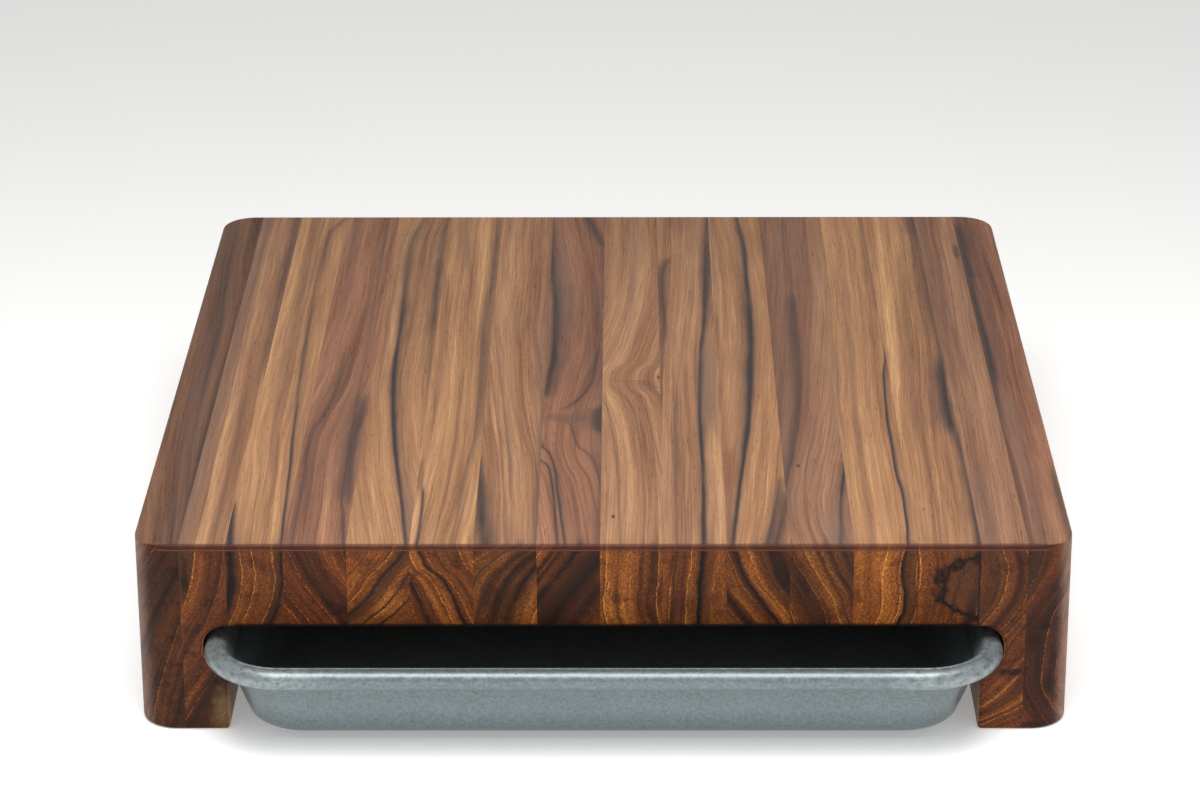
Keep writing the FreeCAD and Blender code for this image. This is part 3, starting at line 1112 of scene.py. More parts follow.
@dataclass
class Tray:
    """One tray: a pan drawn from sheet, its rim rolled over a wire.

    Attributes:
        body: The body it is, and the start of its nodes' names.
        side: -1 for the front tray, 1 for the rear.
        height: Underside to top of rim.
        floor_gap: Worktop to underside.
        half_x: Half its width over the rim.
        half_y: Half its length over the rim.
        middle_y: Distance of its middle from the board's.
        sheet: Thickness of the sheet.
        roll: Outer radius of the rolled rim.
        reach: Wall to edge of rim.
        lip_gap: End of the rolled lip to the wall.
        lip_ease: How far the lip's end is eased, across and along the sheet.
        shoulder: Upper bend's radius, on its upper side.
        foot: Lower bend's radius, on its lower side.
        lean: Wall from the vertical, in degrees.
        wall_points: Heights of the points on the outer wall, which keep its quads short.
        crease: Depth of the crease between the shoulder and the roll.
        crease_run: Where the crease's floor starts and ends, out from the shoulder's middle.
        land: How far the shoulder's top lies below the rim, as a share of the crease.
        roll_end: Angle of the roll, in degrees, at which its outside meets the crease.
        rim_corner: Corner radius of the rim, in plan.
        floor_corner: Corner radius of the wall at its foot.
        foot_steps: Points round the lower bend.
        shoulder_steps: Points round the upper bend's lower and upper side.
        roll_steps: Points round the roll's inside and outside.
        corner_steps: Points round each corner.
        side_steps: Points along each side.
        floor_rings: Sizes of the floor's inner loops, as shares of its outline.
    """

    body: str
    side: int
    height: float = 27.7
    floor_gap: float = 2.5
    half_x: float = 121.6
    half_y: float = 82.625
    middle_y: float = 91.425
    sheet: float = 1.0
    roll: float = 3.1
    reach: float = 7.2
    lip_gap: float = 0.5
    lip_ease: tuple = (0.05, 0.1)
    shoulder: float = 2.2
    foot: float = 7.5
    lean: float = 19.0
    wall_points: tuple = (9.0, 13.0, 17.0)
    crease: float = 0.25
    crease_run: tuple = (0.12, 0.26)
    land: float = 0.4
    roll_end: float = 111.0
    rim_corner: float = 24.6
    floor_corner: float = 14.0
    foot_steps: int = 12
    shoulder_steps: tuple = (7, 9)
    roll_steps: tuple = (13, 25)
    corner_steps: int = 18
    side_steps: int = 26
    floor_rings: tuple = (0.3, 0.6, 0.85)

    def bend(self, middle: tuple, radius: float, start: float, stop: float, steps: int) -> np.ndarray:
        """Points on an arc of the section, by angle in degrees from straight out."""
        angle = np.radians(np.linspace(start, stop, steps))
        return np.stack([middle[0] + radius * np.cos(angle), middle[1] + radius * np.sin(angle)], -1)

    def wall(self) -> tuple[float, float, float, float]:
        """The wall's outer skin, which stands on the foot's bend and leans outwards.

        Returns:
            Height of the lip, distance out from the flat floor there, slope, and height of its start.
        """
        lean = math.radians(self.lean)
        slope = math.tan(lean)
        lip_z = self.height - 2 * self.roll
        foot_z = self.foot * (1 - math.sin(lean))
        return lip_z, self.foot * math.cos(lean) + (lip_z - foot_z) * slope, slope, foot_z

    def edge(self) -> float:
        """Distance from the flat floor out to the edge of the rim."""
        return self.wall()[1] + self.reach

    def section(self) -> np.ndarray:
        """The sheet's section as (distance out from the flat floor, height) round its whole skin.

        It runs out under the floor, round the foot, up the wall, round the roll's inside, back along its
        outside, over the shoulder and down the inner wall to the floor.

        Returns:
            Points of the section, from the middle of the underside to the middle of the floor.
        """
        lip_z, wall_at_lip, slope, _ = self.wall()
        top = self.height - self.crease * self.land - self.shoulder
        inner_shoulder = self.shoulder - self.sheet
        aside = inner_shoulder / math.cos(math.radians(self.lean))
        turn = (wall_at_lip + (top - lip_z) * slope + aside, top)
        roll = (self.edge() - self.roll, self.height - self.roll)
        foot = (0, self.foot)
        lip, lip_top = wall_at_lip + self.lip_gap, lip_z + self.sheet
        across, along = self.lip_ease
        crease_z = self.height - self.crease
        runs = [
            self.bend(foot, self.foot, -90, -self.lean, self.foot_steps),
            [(wall_at_lip - (lip_z - up) * slope, up) for up in self.wall_points],
            self.bend(turn, inner_shoulder, 180 - self.lean, 90, self.shoulder_steps[0]),
            self.bend(roll, self.roll - self.sheet, 90, -90, self.roll_steps[0]),
            [(lip + across, lip_top), (lip, lip_top - along), (lip, lip_z + along), (lip + across, lip_z)],
            self.bend(roll, self.roll, -90, self.roll_end, self.roll_steps[1]),
            [(turn[0] + out, crease_z) for out in reversed(self.crease_run)],
            self.bend(turn, self.shoulder, 90, 180 - self.lean, self.shoulder_steps[1]),
            self.bend(foot, self.foot - self.sheet, -self.lean, -90, self.foot_steps),
        ]
        return np.concatenate(runs)

    def corners(self, out: np.ndarray, up: np.ndarray) -> np.ndarray:
        """Corner radius of each loop, in plan.

        Above the lip it is the rim's, less the distance inside the rim's edge. Below, the outer skin's
        radius runs evenly from there to the floor's, and the inner skin keeps the distance between them.

        Args:
            out: Distances out from the flat floor.
            up: Heights.

        Returns:
            The radii.
        """
        lip_z, wall_at_lip, slope, foot_z = self.wall()
        low = np.clip(up, 0, lip_z)
        bend = np.sqrt(np.clip(self.foot**2 - (self.foot - low) ** 2, 0, None))
        skin = np.where(low < foot_z, bend, wall_at_lip - (lip_z - low) * slope)
        at_lip = self.rim_corner - self.reach
        even = self.floor_corner + (at_lip - self.floor_corner) * low / lip_z - (skin - out)
        return np.where(up < lip_z - TOUCH, even, self.rim_corner - (self.edge() - out))

    def outline(self, out: np.ndarray, corner: np.ndarray) -> np.ndarray:
        """Rounded rectangles, one for each distance inside the rim's edge.

        Each is walked by side and corner: a point is the corner circle's middle plus the radius times
        the direction, and the straight sides are divided evenly between the circles.

        Args:
            out: Distances out from the flat floor.
            corner: The corner radius of each.

        Returns:
            Points (loop, place along it, x and y).
        """
        half = np.array([self.half_x, self.half_y]) - (self.edge() - out)[:, None]
        signs = np.array([(1, 1), (-1, 1), (-1, -1), (1, -1)])
        runs = []
        for index, sign in enumerate(signs):
            start = index * math.pi / 2
            angle = start + np.linspace(0, math.pi / 2, self.corner_steps)
            middle = sign * (half - corner[:, None])
            way = np.stack([np.cos(angle), np.sin(angle)], -1)
            arc = middle[:, None] + corner[:, None, None] * way[None]
            after = signs[(index + 1) % 4] * (half - corner[:, None])
            first = after + corner[:, None] * way[-1]
            share = np.linspace(0, 1, self.side_steps + 2)[1:-1]
            straight = arc[:, -1:] + (first[:, None] - arc[:, -1:]) * share[None, :, None]
            runs += [arc, straight]
        return np.concatenate(runs, 1)

    def pan(self) -> bpy.types.Object:
        """Carry the section round the pan's outline, and close it with the floor.

        Returns:
            The pan.
        """
        section = self.section()
        out, up = section[:, 0], section[:, 1]
        loops = self.outline(out, self.corners(out, up))
        rings = np.array(self.floor_rings)[:, None, None]
        loops = np.concatenate([loops[:1] * rings, loops, loops[-1:] * rings[::-1]])
        flat = np.ones(len(rings))
        heights = np.concatenate([flat * up[0], up, flat * up[-1]])
        rows, count = loops.shape[:2]
        points = np.concatenate([loops, np.broadcast_to(heights[:, None, None], (rows, count, 1))], -1)
        middles = np.array([[0, 0, up[0]], [0, 0, up[-1]]])
        points = np.concatenate([points.reshape(-1, 3), middles])
        points += np.array([0, self.side * self.middle_y, self.floor_gap])
        around = np.arange(count)
        after = (around + 1) % count
        first = np.full(count, rows * count)
        end = (rows - 1) * count
        faces = [
            *grid_faces(rows, count).tolist(),
            *np.stack([first, after, around], -1).tolist(),
            *np.stack([first + 1, end + around, end + after], -1).tolist(),
        ]
        return new_piece(self.body + "_drawn_pan", points, faces, self.body)

    def build(self, aluminium: bpy.types.Material, wire: bpy.types.Material) -> None:
        """Make the pan, hide the frame's own, and dress both of the tray's pieces.

        Args:
            aluminium: The pan's material.
            wire: The rim wire's material.
        """
        pan = self.pan()
        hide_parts(self.body + "_pan")
        pan.data.materials.append(aluminium)
        dress(self.body + "_rim_wire", wire)


def dress(node: str, material: bpy.types.Material) -> None:
    """Give a node of the frame a material in all its slots.

    Args:
        node: The node's name.
        material: The material.
    """
    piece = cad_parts[node]
    for spot in piece.material_slots:
        spot.material = material
    log.info("%s: %s", node, material.name)


# --------------------------------------------------------------------------------------------- board


def end_vein(tint: Tint, x: float, half: float, strong: float) -> Mark:
    """A vein on the front end grain alone: it fades in just before it."""
    return Mark(tint, ((FRONT_END + END_FADE, x, half, 0), (FRONT_END, x, half, strong)))


def low_vein(tint: Tint, x: float, half: float, strong: float) -> Mark:
    """A straight vein beside the stave's own face, which the fall of the rings brings in lower down."""
    return Mark(tint, ((FRONT_END, x, half, strong),))


# The staves from left to right.
FIGURES = (
    Figure(
        "left_leg_outer_stave", Tone.BROWN, 0.45,
        fall=((62, 0), (40, -11), (20, -18.5), (0, -24)),
        sway=((150, -3), (50, 0), (-50, 1), (-100, 3), (-150, 6)),
        marks=(
            Mark(INK, (
                (150, -137.6, 0.98, 0.32), (75, -135.5, 1.14, 0.54), (25, -133.6, 1.3, 0.65),
                (0, -133.3, 0.98, 0.65), (-40, -133, 0.81, 0.43), (-90, -131.5, 0.65, 0.22),
                (-150, -130.5, 0.65, 0.22),
            )),
            Mark(UMBER, (
                (150, -139, 1.3, 0.22), (60, -139, 1.3, 0.32), (0, -137, 1.3, 0.54),
                (-50, -135.8, 1.56, 0.54), (-110, -133, 1.04, 0.32), (-150, -132, 1.04, 0.32),
            )),
            Mark(INK, (
                (10, -128.6, 0.81, 0), (0, -128.6, 0.81, 0.22), (-50, -128.4, 0.98, 0.65),
                (-90, -128.4, 1.3, 0.81), (-120, -128.6, 0.81, 0.43), (-150, -128.6, 0.65, 0.32),
            )),
            Mark(HONEY, (
                (0, -138.6, 1.25, 0), (-30, -138.6, 1.25, 0.43), (-75, -138.9, 1.56, 0.54),
                (-150, -141, 2.34, 0.65),
            )),
            Mark(UMBER, ((150, -140, 3.25, 0.54), (60, -142, 2.6, 0.32), (20, -142, 1.95, 0))),
            low_vein(INK, -124.5, 0.73, 0.76), low_vein(HONEY, -120, 0.62, 0.65),
            low_vein(HONEY, -112.5, 0.78, 0.54), low_vein(INK, -108, 0.98, 0.54),
        ),
        patches=(
            Patch(RUST, (-137, -10, 62), (1, 3, 2), 0.4),
            Patch(RUST, (-131, 10, 62), (0.9, 3, 2), 0.4),
            Patch(RUST, (-119, 35, 62), (1, 3, 2), 0.4),
        ),
        rings=5, seed=1.7,
    ),
    Figure(
        "left_leg_inner_stave", Tone.TAN, 0.48,
        fall=((62, 0), (50, -1.5), (40, -5), (25, -13), (0, -27)),
        sway=((150, 0), (-150, 1)),
        marks=(
            Mark(GREY, ((150, -126.3, 2.6, 0.59), (0, -126.5, 2.6, 0.54), (-150, -126.7, 2.08, 0.54))),
            Mark(HONEY, ((10, -121.5, 1.87, 0), (-60, -121.5, 2.34, 0.54), (-150, -121, 2.5, 0.65))),
            Mark(INK, (
                (150, -115.6, 2.11, 0.54), (60, -115.4, 1.95, 0.49), (0, -115, 1.62, 0.32),
                (-30, -115, 1.62, 0),
            ), 0.4),
            Mark(UMBER, ((20, -118, 1.04, 0), (-40, -118, 1.17, 0.38), (-150, -118, 1.17, 0.38))),
            low_vein(INK, -101, 1.95, 0.59), low_vein(HONEY, -106, 1.25, 0.49),
            low_vein(UMBER, -96, 1.3, 0.65),
        ),
        patches=(
            Patch(INK, (-126.6, -151, 51), (1.6, 9, 8), 0.75),
            Patch(SAP, (-116.6, -151, 6.5), (4.2, 8, 8.5), 0.7),
        ),
        rings=4.5, seed=9, ends=-0.12,
    ),
    Figure(
        "middle_stave_01", Tone.GOLD, 0.55,
        fall=((62, 0), (52, 0.3), (44, -1), (36, -4), (18, -10.8)),
        sway=((150, 1), (0, 0), (-100, 2.5), (-150, 4)),
        marks=(
            Mark(UMBER, (
                (150, -108, 1.95, 0.43), (0, -108, 1.95, 0.43), (-50, -107, 1.56, 0.38),
                (-100, -104.5, 1.3, 0.32), (-150, -103, 1.04, 0.27),
            )),
            Mark(INK, (
                (150, -97, 0.98, 0.43), (140, -100.5, 1.14, 0.43), (125, -103, 1.14, 0.43),
                (75, -103.6, 0.98, 0.43), (0, -102.5, 0.81, 0.54), (-50, -101, 0.57, 0.76),
                (-100, -98.8, 0.49, 0.86), (-150, -97.3, 0.57, 0.86),
            ), 0.3),
            Mark(INK, (
                (-108, -114.4, 0.33, 0), (-120, -114.1, 0.65, 0.65), (-135, -113.5, 0.98, 0.92),
                (-150, -112.7, 1.3, 0.97),
            )),
            Mark(HONEY, ((150, -110.5, 2.34, 0.43), (-150, -110, 2.34, 0.43))),
            Mark(HONEY, ((150, -100, 1.56, 0.27), (-150, -100.5, 1.87, 0.43))),
            end_vein(UMBER, -98.6, 1.17, 0.65),
        ),
        patches=(
            Patch(INK, (-112.6, -151, 53.5), (1.3, 9, 5.5), 0.75),
        ),
        rings=4.2, seed=16.3, ends=0.01,
    ),
    Figure(
        "middle_stave_02", Tone.RED, 0.47,
        fall=((62, 0), (52, 4.7), (43, 10.4), (36, 15.4), (18, 28.3)),
        sway=((150, 0), (0, -2), (-50, -6), (-85, -8), (-120, -7.5), (-150, -7)),
        marks=(
            Mark(INK, (
                (20, -87.5, 0.98, 0), (10, -88, 0.98, 0.22), (-25, -89.5, 0.81, 0.49),
                (-50, -92.5, 0.65, 0.54), (-75, -95, 0.65, 0.59), (-100, -94, 0.65, 0.59),
                (-150, -94, 0.65, 0.54),
            )),
            Mark(INK, (
                (-20, -79.5, 1.62, 0), (-40, -79.5, 2.11, 0.65), (-75, -80.3, 2.21, 0.7),
                (-100, -79.8, 2.27, 0.65), (-118, -78.6, 1.3, 0.32), (-130, -78, 0.98, 0),
            ), -0.3),
            Mark(INK, ((-95, -81.5, 0.57, 0.32), (-125, -80, 0.57, 0.65), (-150, -78.3, 0.57, 0.65))),
            Mark(UMBER, (
                (75, -82, 1.3, 0.32), (25, -81, 1.3, 0.32), (0, -82.5, 1.3, 0.32), (-25, -84, 1.3, 0.32),
                (-50, -87, 1.17, 0.32), (-90, -90, 1.17, 0.32), (-150, -89, 1.17, 0.32),
            )),
            Mark(UMBER, ((150, -93, 1.56, 0.32), (60, -92, 1.56, 0.32), (0, -93.5, 1.3, 0.22))),
            Mark(HONEY, ((-60, -84.5, 1.25, 0.22), (-110, -85, 1.4, 0.49), (-150, -84, 1.4, 0.49))),
        ),
        patches=(
            Patch(INK, (-79.5, -151, 40.5), (2.4, 8, 2.4), 0.6),
        ),
        rings=4.4, seed=23.6, ends=-0.04,
    ),
    Figure(
        "middle_stave_03", Tone.GOLD, 0.54,
        fall=((62, 0), (57.8, -2), (51.2, -7.5), (44.5, -11.7), (37, -19.6), (18, -39.6)),
        sway=((150, 3.5), (100, 0), (0, 0), (-50, 2.5), (-100, 7), (-150, 12)),
        marks=(
            Mark(INK, (
                (150, -68, 1.95, 0.49), (104, -71.9, 1.79, 0.54), (51, -71.3, 1.14, 0.81),
                (0, -71.2, 0.98, 0.97), (-37, -69.7, 0.89, 0.97), (-74, -66.9, 0.81, 1),
                (-109, -63.4, 0.73, 1), (-150, -59.6, 0.65, 1),
            ), 0.2),
            Mark(INK, (
                (150, -59.5, 1.46, 0.43), (127, -59.7, 1.46, 0.54), (81, -60.2, 1.62, 0.59),
                (51, -59.9, 1.46, 0.59), (11, -59.4, 1.14, 0.49), (-40, -59, 0.81, 0.11),
                (-80, -59, 0.81, 0),
            ), -0.3),
            Mark(HONEY, (
                (0, -77, 1.87, 0), (-30, -76, 2.34, 0.43), (-100, -72, 2.5, 0.54), (-150, -69, 2.5, 0.65),
            )),
            Mark(UMBER, (
                (120, -75, 1.95, 0), (75, -75, 1.95, 0.27), (-25, -75, 1.95, 0.27), (-60, -75, 1.95, 0),
            )),
            Mark(UMBER, (
                (-75, -77.6, 0.52, 0), (-92, -77.4, 0.52, 0.43), (-116, -75.2, 0.52, 0.43),
                (-150, -70.2, 0.52, 0.43),
            )),
            Mark(GREY, (
                (-70, -62, 0.65, 0), (-100, -61.2, 1.56, 0.54), (-125, -59.5, 1.69, 0.54),
                (-150, -58, 1.69, 0.54),
            )),
            low_vein(UMBER, -52, 0.65, 0.76), low_vein(INK, -46.5, 0.57, 0.76),
        ),
        patches=(
            Patch(HONEY, (-65, -151, 42.5), (7, 6, 6), 1),
        ),
        rings=4, seed=30.9,
    ),
    Figure(
        "middle_stave_04", Tone.GOLD, 0.59,
        fall=((62, 0), (54.5, 3.3), (51, 7.5), (44.5, 10.8), (36, 14.2), (18, 21.4)),
        sway=((150, 0), (0, 0), (-75, -0.5), (-150, -3)),
        marks=(
            Mark(UMBER, (
                (150, -53, 3.9, 0.43), (115, -51, 2.86, 0.49), (86, -48.5, 1.17, 0.32), (70, -48, 0.78, 0),
            ), -0.5),
            Mark(UMBER, (
                (95, -57.2, 1.56, 0), (70, -56.3, 1.3, 0.38), (-25, -55.2, 1.04, 0.32),
                (-50, -55.5, 0.78, 0.11), (-80, -55.5, 0.78, 0),
            )),
            Mark(INK, (
                (150, -40.6, 1.62, 0.49), (81, -40.8, 1.62, 0.54), (50, -41.9, 1.62, 0.43),
                (-30, -41.5, 1.3, 0.43), (-99, -44.1, 0.81, 0.38), (-150, -46, 0.65, 0.27),
            ), 0.4),
            Mark(UMBER, (
                (0, -47.7, 0.45, 0), (-11, -47.7, 0.39, 0.38), (-72, -48, 0.39, 0.38),
                (-127, -50.2, 0.39, 0.38), (-150, -51.3, 0.39, 0.38),
            )),
            Mark(INK, (
                (-100, -56.5, 0.49, 0), (-111, -56.2, 0.49, 0.76), (-130, -55.9, 0.57, 0.81),
                (-150, -56.3, 0.49, 0.81),
            )),
            Mark(HONEY, (
                (110, -45, 2.03, 0.54), (-40, -45, 2.03, 0.54), (-90, -42.3, 2.34, 0.54),
                (-150, -42, 2.34, 0.54),
            )),
            Mark(HONEY, ((-95, -57.5, 1.09, 0), (-110, -57.5, 1.25, 0.43), (-150, -57.7, 1.25, 0.54))),
            low_vein(INK, -67, 0.81, 0.76), low_vein(HONEY, -62.5, 0.94, 0.54),
        ),
        patches=(
            Patch(UMBER, (-57.5, -97, 62), (1.2, 14, 2), 0.6),
        ),
        rings=4, seed=38.2, ends=-0.05,
    ),
    Figure(
        "middle_stave_05", Tone.TAN, 0.56,
        fall=((62, 0), (57, -8), (50, -14), (43, -17), (36, -19), (18, -24.1)),
        sway=((150, 0), (50, 0), (0, 2.5), (-50, 5.5), (-100, 9), (-150, 11)),
        marks=(
            Mark(UMBER, (
                (65, -39.2, 0.78, 0), (53, -39.1, 0.78, 0.32), (12, -36.9, 0.78, 0.49),
                (-35, -33.6, 0.78, 0.54), (-76, -30.8, 0.78, 0.65), (-122, -28.6, 0.65, 0.38),
                (-150, -27.6, 0.65, 0.32),
            ), 0.4),
            Mark(RUST, (
                (10, -40, 0.65, 0), (-2, -39.1, 0.65, 0.54), (-51, -34.9, 0.65, 0.65),
                (-95, -31.9, 0.65, 0.65), (-150, -29.1, 0.65, 0.54),
            ), 0.3),
            Mark(INK, (
                (-72, -39.3, 0.65, 0), (-83, -39.1, 0.65, 0.43), (-104, -38.6, 1.3, 0.76),
                (-127, -37.4, 2.27, 0.81), (-150, -35.8, 2.34, 0.86),
            )),
            Mark(GREY, (
                (60, -22.3, 1.95, 0), (30, -22, 2.08, 0.38), (-10, -21.5, 1.56, 0.38), (-40, -21, 1.3, 0.11),
            )),
            Mark(UMBER, ((-35, -20.4, 0.78, 0), (-50, -20.6, 0.78, 0.38), (-150, -20.6, 0.78, 0.43))),
            Mark(HONEY, (
                (150, -31, 3.12, 0.27), (40, -30, 3.12, 0.27), (0, -28, 2.34, 0.16), (-60, -25, 1.87, 0.32),
                (-150, -23, 1.87, 0.38),
            )),
            end_vein(INK, -24.8, 0.81, 0.54), low_vein(UMBER, -19, 1.56, 0.76),
            Mark(INK, ((-150, -15.5, 1.46, 0.81),), 0.4),
            low_vein(INK, -10, 1.14, 0.76),
        ),
        rings=4.3, seed=45.5, ends=0.16,
    ),
    Figure(
        "middle_stave_06", Tone.RED, 0.47,
        fall=((62, 0), (52, -7), (44, -13), (36, -18), (18, -29.2)),
        sway=(
            (150, -6), (100, -2), (50, 0), (20, 0), (-10, -2), (-40, -5), (-60, -6), (-100, -1), (-150, 3),
        ),
        marks=(
            Mark(INK, (
                (150, -21.2, 1.3, 0.54), (92, -19.7, 1.46, 0.81), (46, -17.7, 1.95, 0.92),
                (20, -17.6, 1.95, 0.92), (-12, -18.8, 1.46, 0.86), (-28, -19.7, 1.14, 0.65),
                (-38, -20.5, 0.98, 0),
            ), 0.5),
            Mark(GREY, (
                (130, -16, 1.95, 0), (104, -16.3, 2.6, 0.38), (58, -15.2, 2.6, 0.38),
                (35, -14.9, 2.34, 0.32), (10, -15, 1.95, 0),
            )),
            Mark(UMBER, (
                (110, -11.6, 1.04, 0), (74, -11.6, 0.91, 0.38), (11, -11.6, 0.91, 0.38),
                (-12, -13, 0.78, 0.32), (-30, -14.5, 0.78, 0),
            )),
            Mark(INK, (
                (150, -7.3, 1.62, 0.54), (143, -6.3, 1.62, 0.65), (129, -3.6, 1.62, 0.65),
                (120, -1.6, 1.62, 0.65), (110, 0, 1.62, 0.54),
            )),
            Mark(INK, (
                (20, -2.5, 0.57, 0), (7, -3, 0.57, 0.65), (-9, -3.8, 0.57, 0.65), (-23, -5.8, 0.57, 0.65),
                (-32, -8.6, 0.65, 0.65), (-40, -12.5, 0.81, 0.54), (-45, -16, 0.81, 0),
            )),
            Mark(INK, (
                (-62, -21, 0.49, 0), (-72, -20, 0.49, 0.86), (-79, -17.4, 0.49, 0.86),
                (-90, -15.8, 0.49, 0.86), (-109, -14.4, 0.49, 0.86), (-150, -11.5, 0.49, 0.86),
            ), 0.4),
            Mark(INK, (
                (-78, -21, 0.41, 0), (-84, -20, 0.41, 0.76), (-88, -18, 0.41, 0.76),
                (-99, -16.4, 0.41, 0.76), (-150, -13.7, 0.41, 0.76),
            )),
            Mark(UMBER, (
                (-55, -17, 0.39, 0), (-65, -15.2, 0.39, 0.43), (-104, -9.7, 0.39, 0.43),
                (-150, -6.3, 0.39, 0.43),
            )),
            Mark(INK, (
                (-48, -13, 0.41, 0), (-55, -11.3, 0.41, 0.54), (-72, -8.6, 0.41, 0.54),
                (-83, -4.1, 0.49, 0.54), (-106, -1.1, 0.49, 0.54), (-150, 1, 0.49, 0.54),
            ), 0.5),
            Mark(HONEY, ((-78, -19, 1.56, 0), (-95, -18.8, 1.87, 0.54), (-150, -18.3, 2.03, 0.59))),
            Mark(INK, (
                (-30, 0, 0.49, 0), (-40, -0.6, 1.62, 0.86), (-50, -1.2, 2.99, 0.97), (-60, -0.6, 1.79, 0.86),
                (-72, 0, 0.49, 0),
            )),
            Mark(INK, ((-136, -7, 1.14, 0), (-150, -7, 1.14, 0.81)), 0.3),
            low_vein(INK, 2.5, 1.46, 0.76), end_vein(UMBER, -2, 1.56, 0.54), low_vein(INK, 9, 1.62, 0.65),
        ),
        patches=(
            Patch(UMBER, (-13, -49, 60), (10, 4, 9), 0.6),
        ),
        rings=4.2, seed=52.8, ends=0.1,
    ),
    Figure(
        "middle_stave_07", Tone.TAN, 0.56,
        fall=((62, 0), (50, -1), (44, -1.5), (36, 0), (18, 3.4)),
        sway=((150, 5), (75, 3.5), (30, 0), (0, -4), (-15, -8), (-30, -5), (-70, -1), (-150, 0)),
        marks=(
            Mark(RUST, (
                (-16, 7, 0.52, 0), (-18, 10, 0.65, 0.43), (-21, 15, 0.78, 0.65), (-23.5, 19, 0.65, 0.54),
                (-26, 24, 0.65, 0),
            )),
            Mark(UMBER, (
                (-20, -0.5, 0.39, 0), (-30, 0.1, 0.39, 0.49), (-58, 2.3, 0.39, 0.49), (-81, 4, 0.39, 0.49),
                (-150, 5.6, 0.39, 0.54),
            )),
            Mark(UMBER, (
                (-15, 2, 0.39, 0), (-25, 4.6, 0.39, 0.49), (-44, 9, 0.39, 0.49), (-65, 10.9, 0.39, 0.49),
                (-116, 12.6, 0.39, 0.49), (-150, 12.3, 0.39, 0.54),
            )),
            Mark(UMBER, (
                (-22, 11, 0.39, 0), (-32, 12.9, 0.39, 0.49), (-58, 15.1, 0.39, 0.49),
                (-85, 17.3, 0.39, 0.49), (-110, 18.6, 0.39, 0.32),
            )),
            Mark(GREY, ((150, 10, 2.6, 0.32), (60, 9, 2.6, 0.32), (10, 6, 2.6, 0))),
            Mark(HONEY, (
                (150, 3, 1.87, 0.32), (40, 2.5, 1.87, 0.32), (0, 1, 1.56, 0), (-50, 0.8, 1.87, 0.38),
                (-150, 0.8, 2.5, 0.54),
            )),
            Mark(HONEY, ((-60, 8, 1.56, 0), (-100, 9, 2.03, 0.38), (-150, 9.2, 2.34, 0.43))),
            end_vein(INK, 15.5, 0.81, 0.54),
        ),
        patches=(
            Patch(INK, (18, -13, 62), (1, 2.5, 3), 0.7),
            Patch(INK, (3.05, -129, 62), (0.7, 1.6, 2), 0.9),
            Patch(RUST, (9, -16.5, 62), (11, 0.9, 3), 0.5),
            Patch(UMBER, (14, -20, 61), (5, 6, 4), 0.35),
        ),
        rings=4.2, seed=60.1, ends=0.07,
    ),
    Figure(
        "middle_stave_08", Tone.TAN, 0.51,
        fall=((62, 0), (50, -1), (36, -1.5), (18, -2.1)),
        sway=((150, 6), (75, 4), (0, 1), (-75, 0), (-150, -0.3)),
        marks=(
            Mark(INK, (
                (110, 23, 1.14, 0), (100, 22, 1.3, 0.54), (74, 19.6, 1.62, 0.65), (35, 20.4, 1.3, 0.54),
                (16, 19.6, 1.14, 0.38), (0, 19, 0.98, 0.22), (-20, 18.6, 0.81, 0),
            ), -0.4),
            Mark(HONEY, (
                (130, 26, 2.5, 0.22), (115, 25.5, 2.5, 0.43), (46, 23.4, 2.5, 0.43), (-12, 21.8, 2.18, 0.43),
                (-70, 20.7, 1.87, 0.43), (-150, 20.3, 1.56, 0.38),
            )),
            Mark(UMBER, (
                (110, 29.5, 0.65, 0.11), (81, 28.4, 0.65, 0.32), (35, 26.8, 0.65, 0.32),
                (0, 25.1, 0.65, 0.38), (-35, 23.7, 0.65, 0.49), (-69, 22.9, 0.65, 0.65),
                (-150, 22.3, 0.65, 0.7),
            )),
            Mark(UMBER, ((-20, 24.8, 0.33, 0), (-35, 24.8, 0.33, 0.49), (-150, 25.1, 0.33, 0.54))),
            Mark(INK, (
                (150, 37.3, 2.11, 0.65), (104, 35.7, 1.95, 0.76), (51, 34.3, 1.3, 0.81),
                (7, 32.1, 0.81, 0.92), (-42, 30.9, 0.81, 0.97), (-99, 30.8, 0.81, 1), (-150, 30.2, 0.73, 1),
            ), 0.4),
            Mark(GREY, ((25, 35, 2.6, 0), (5, 35, 2.86, 0.54), (-40, 34, 2.34, 0.59), (-68, 34, 1.82, 0))),
            Mark(HONEY, ((-45, 34, 2.81, 0), (-78, 34, 3.12, 0.54), (-150, 34, 3.43, 0.65))),
            Mark(HONEY, ((-100, 27.5, 1.25, 0.11), (-150, 27.5, 1.4, 0.54))),
        ),
        patches=(
            Patch(UMBER, (27, 146, 62), (9, 14, 5), 0.25),
            Patch(UMBER, (24, -151, 42), (5, 5, 5), 0.45),
        ),
        rings=4.6, seed=67.4, ends=-0.03,
    ),
    Figure(
        "middle_stave_09", Tone.GOLD, 0.54,
        fall=((62, 0), (52, 3.5), (44.5, 8), (36, 14), (18, 26.7)),
        sway=((150, -1), (75, 1), (0, -0.5), (-50, -2.5), (-100, -6), (-150, -10)),
        marks=(
            Mark(GREY, ((150, 38.5, 1.3, 0.54), (80, 38.5, 1.04, 0.43), (50, 38.4, 0.91, 0.22))),
            Mark(RUST, (
                (55, 38.4, 1.04, 0), (40, 38.4, 1.04, 0.43), (-60, 38.4, 1.17, 0.43),
                (-80, 38.4, 1.17, 0.22),
            )),
            Mark(INK, (
                (150, 48.1, 1.14, 0.7), (104, 50.1, 1.14, 0.81), (51, 50.1, 1.46, 0.92), (2, 49, 1.46, 0.97),
                (-46, 47.1, 1.14, 0.97), (-81, 44.6, 0.89, 0.97), (-118, 41.5, 0.73, 0.92),
                (-150, 39.2, 0.65, 0.92),
            ), -0.3),
            Mark(RUST, (
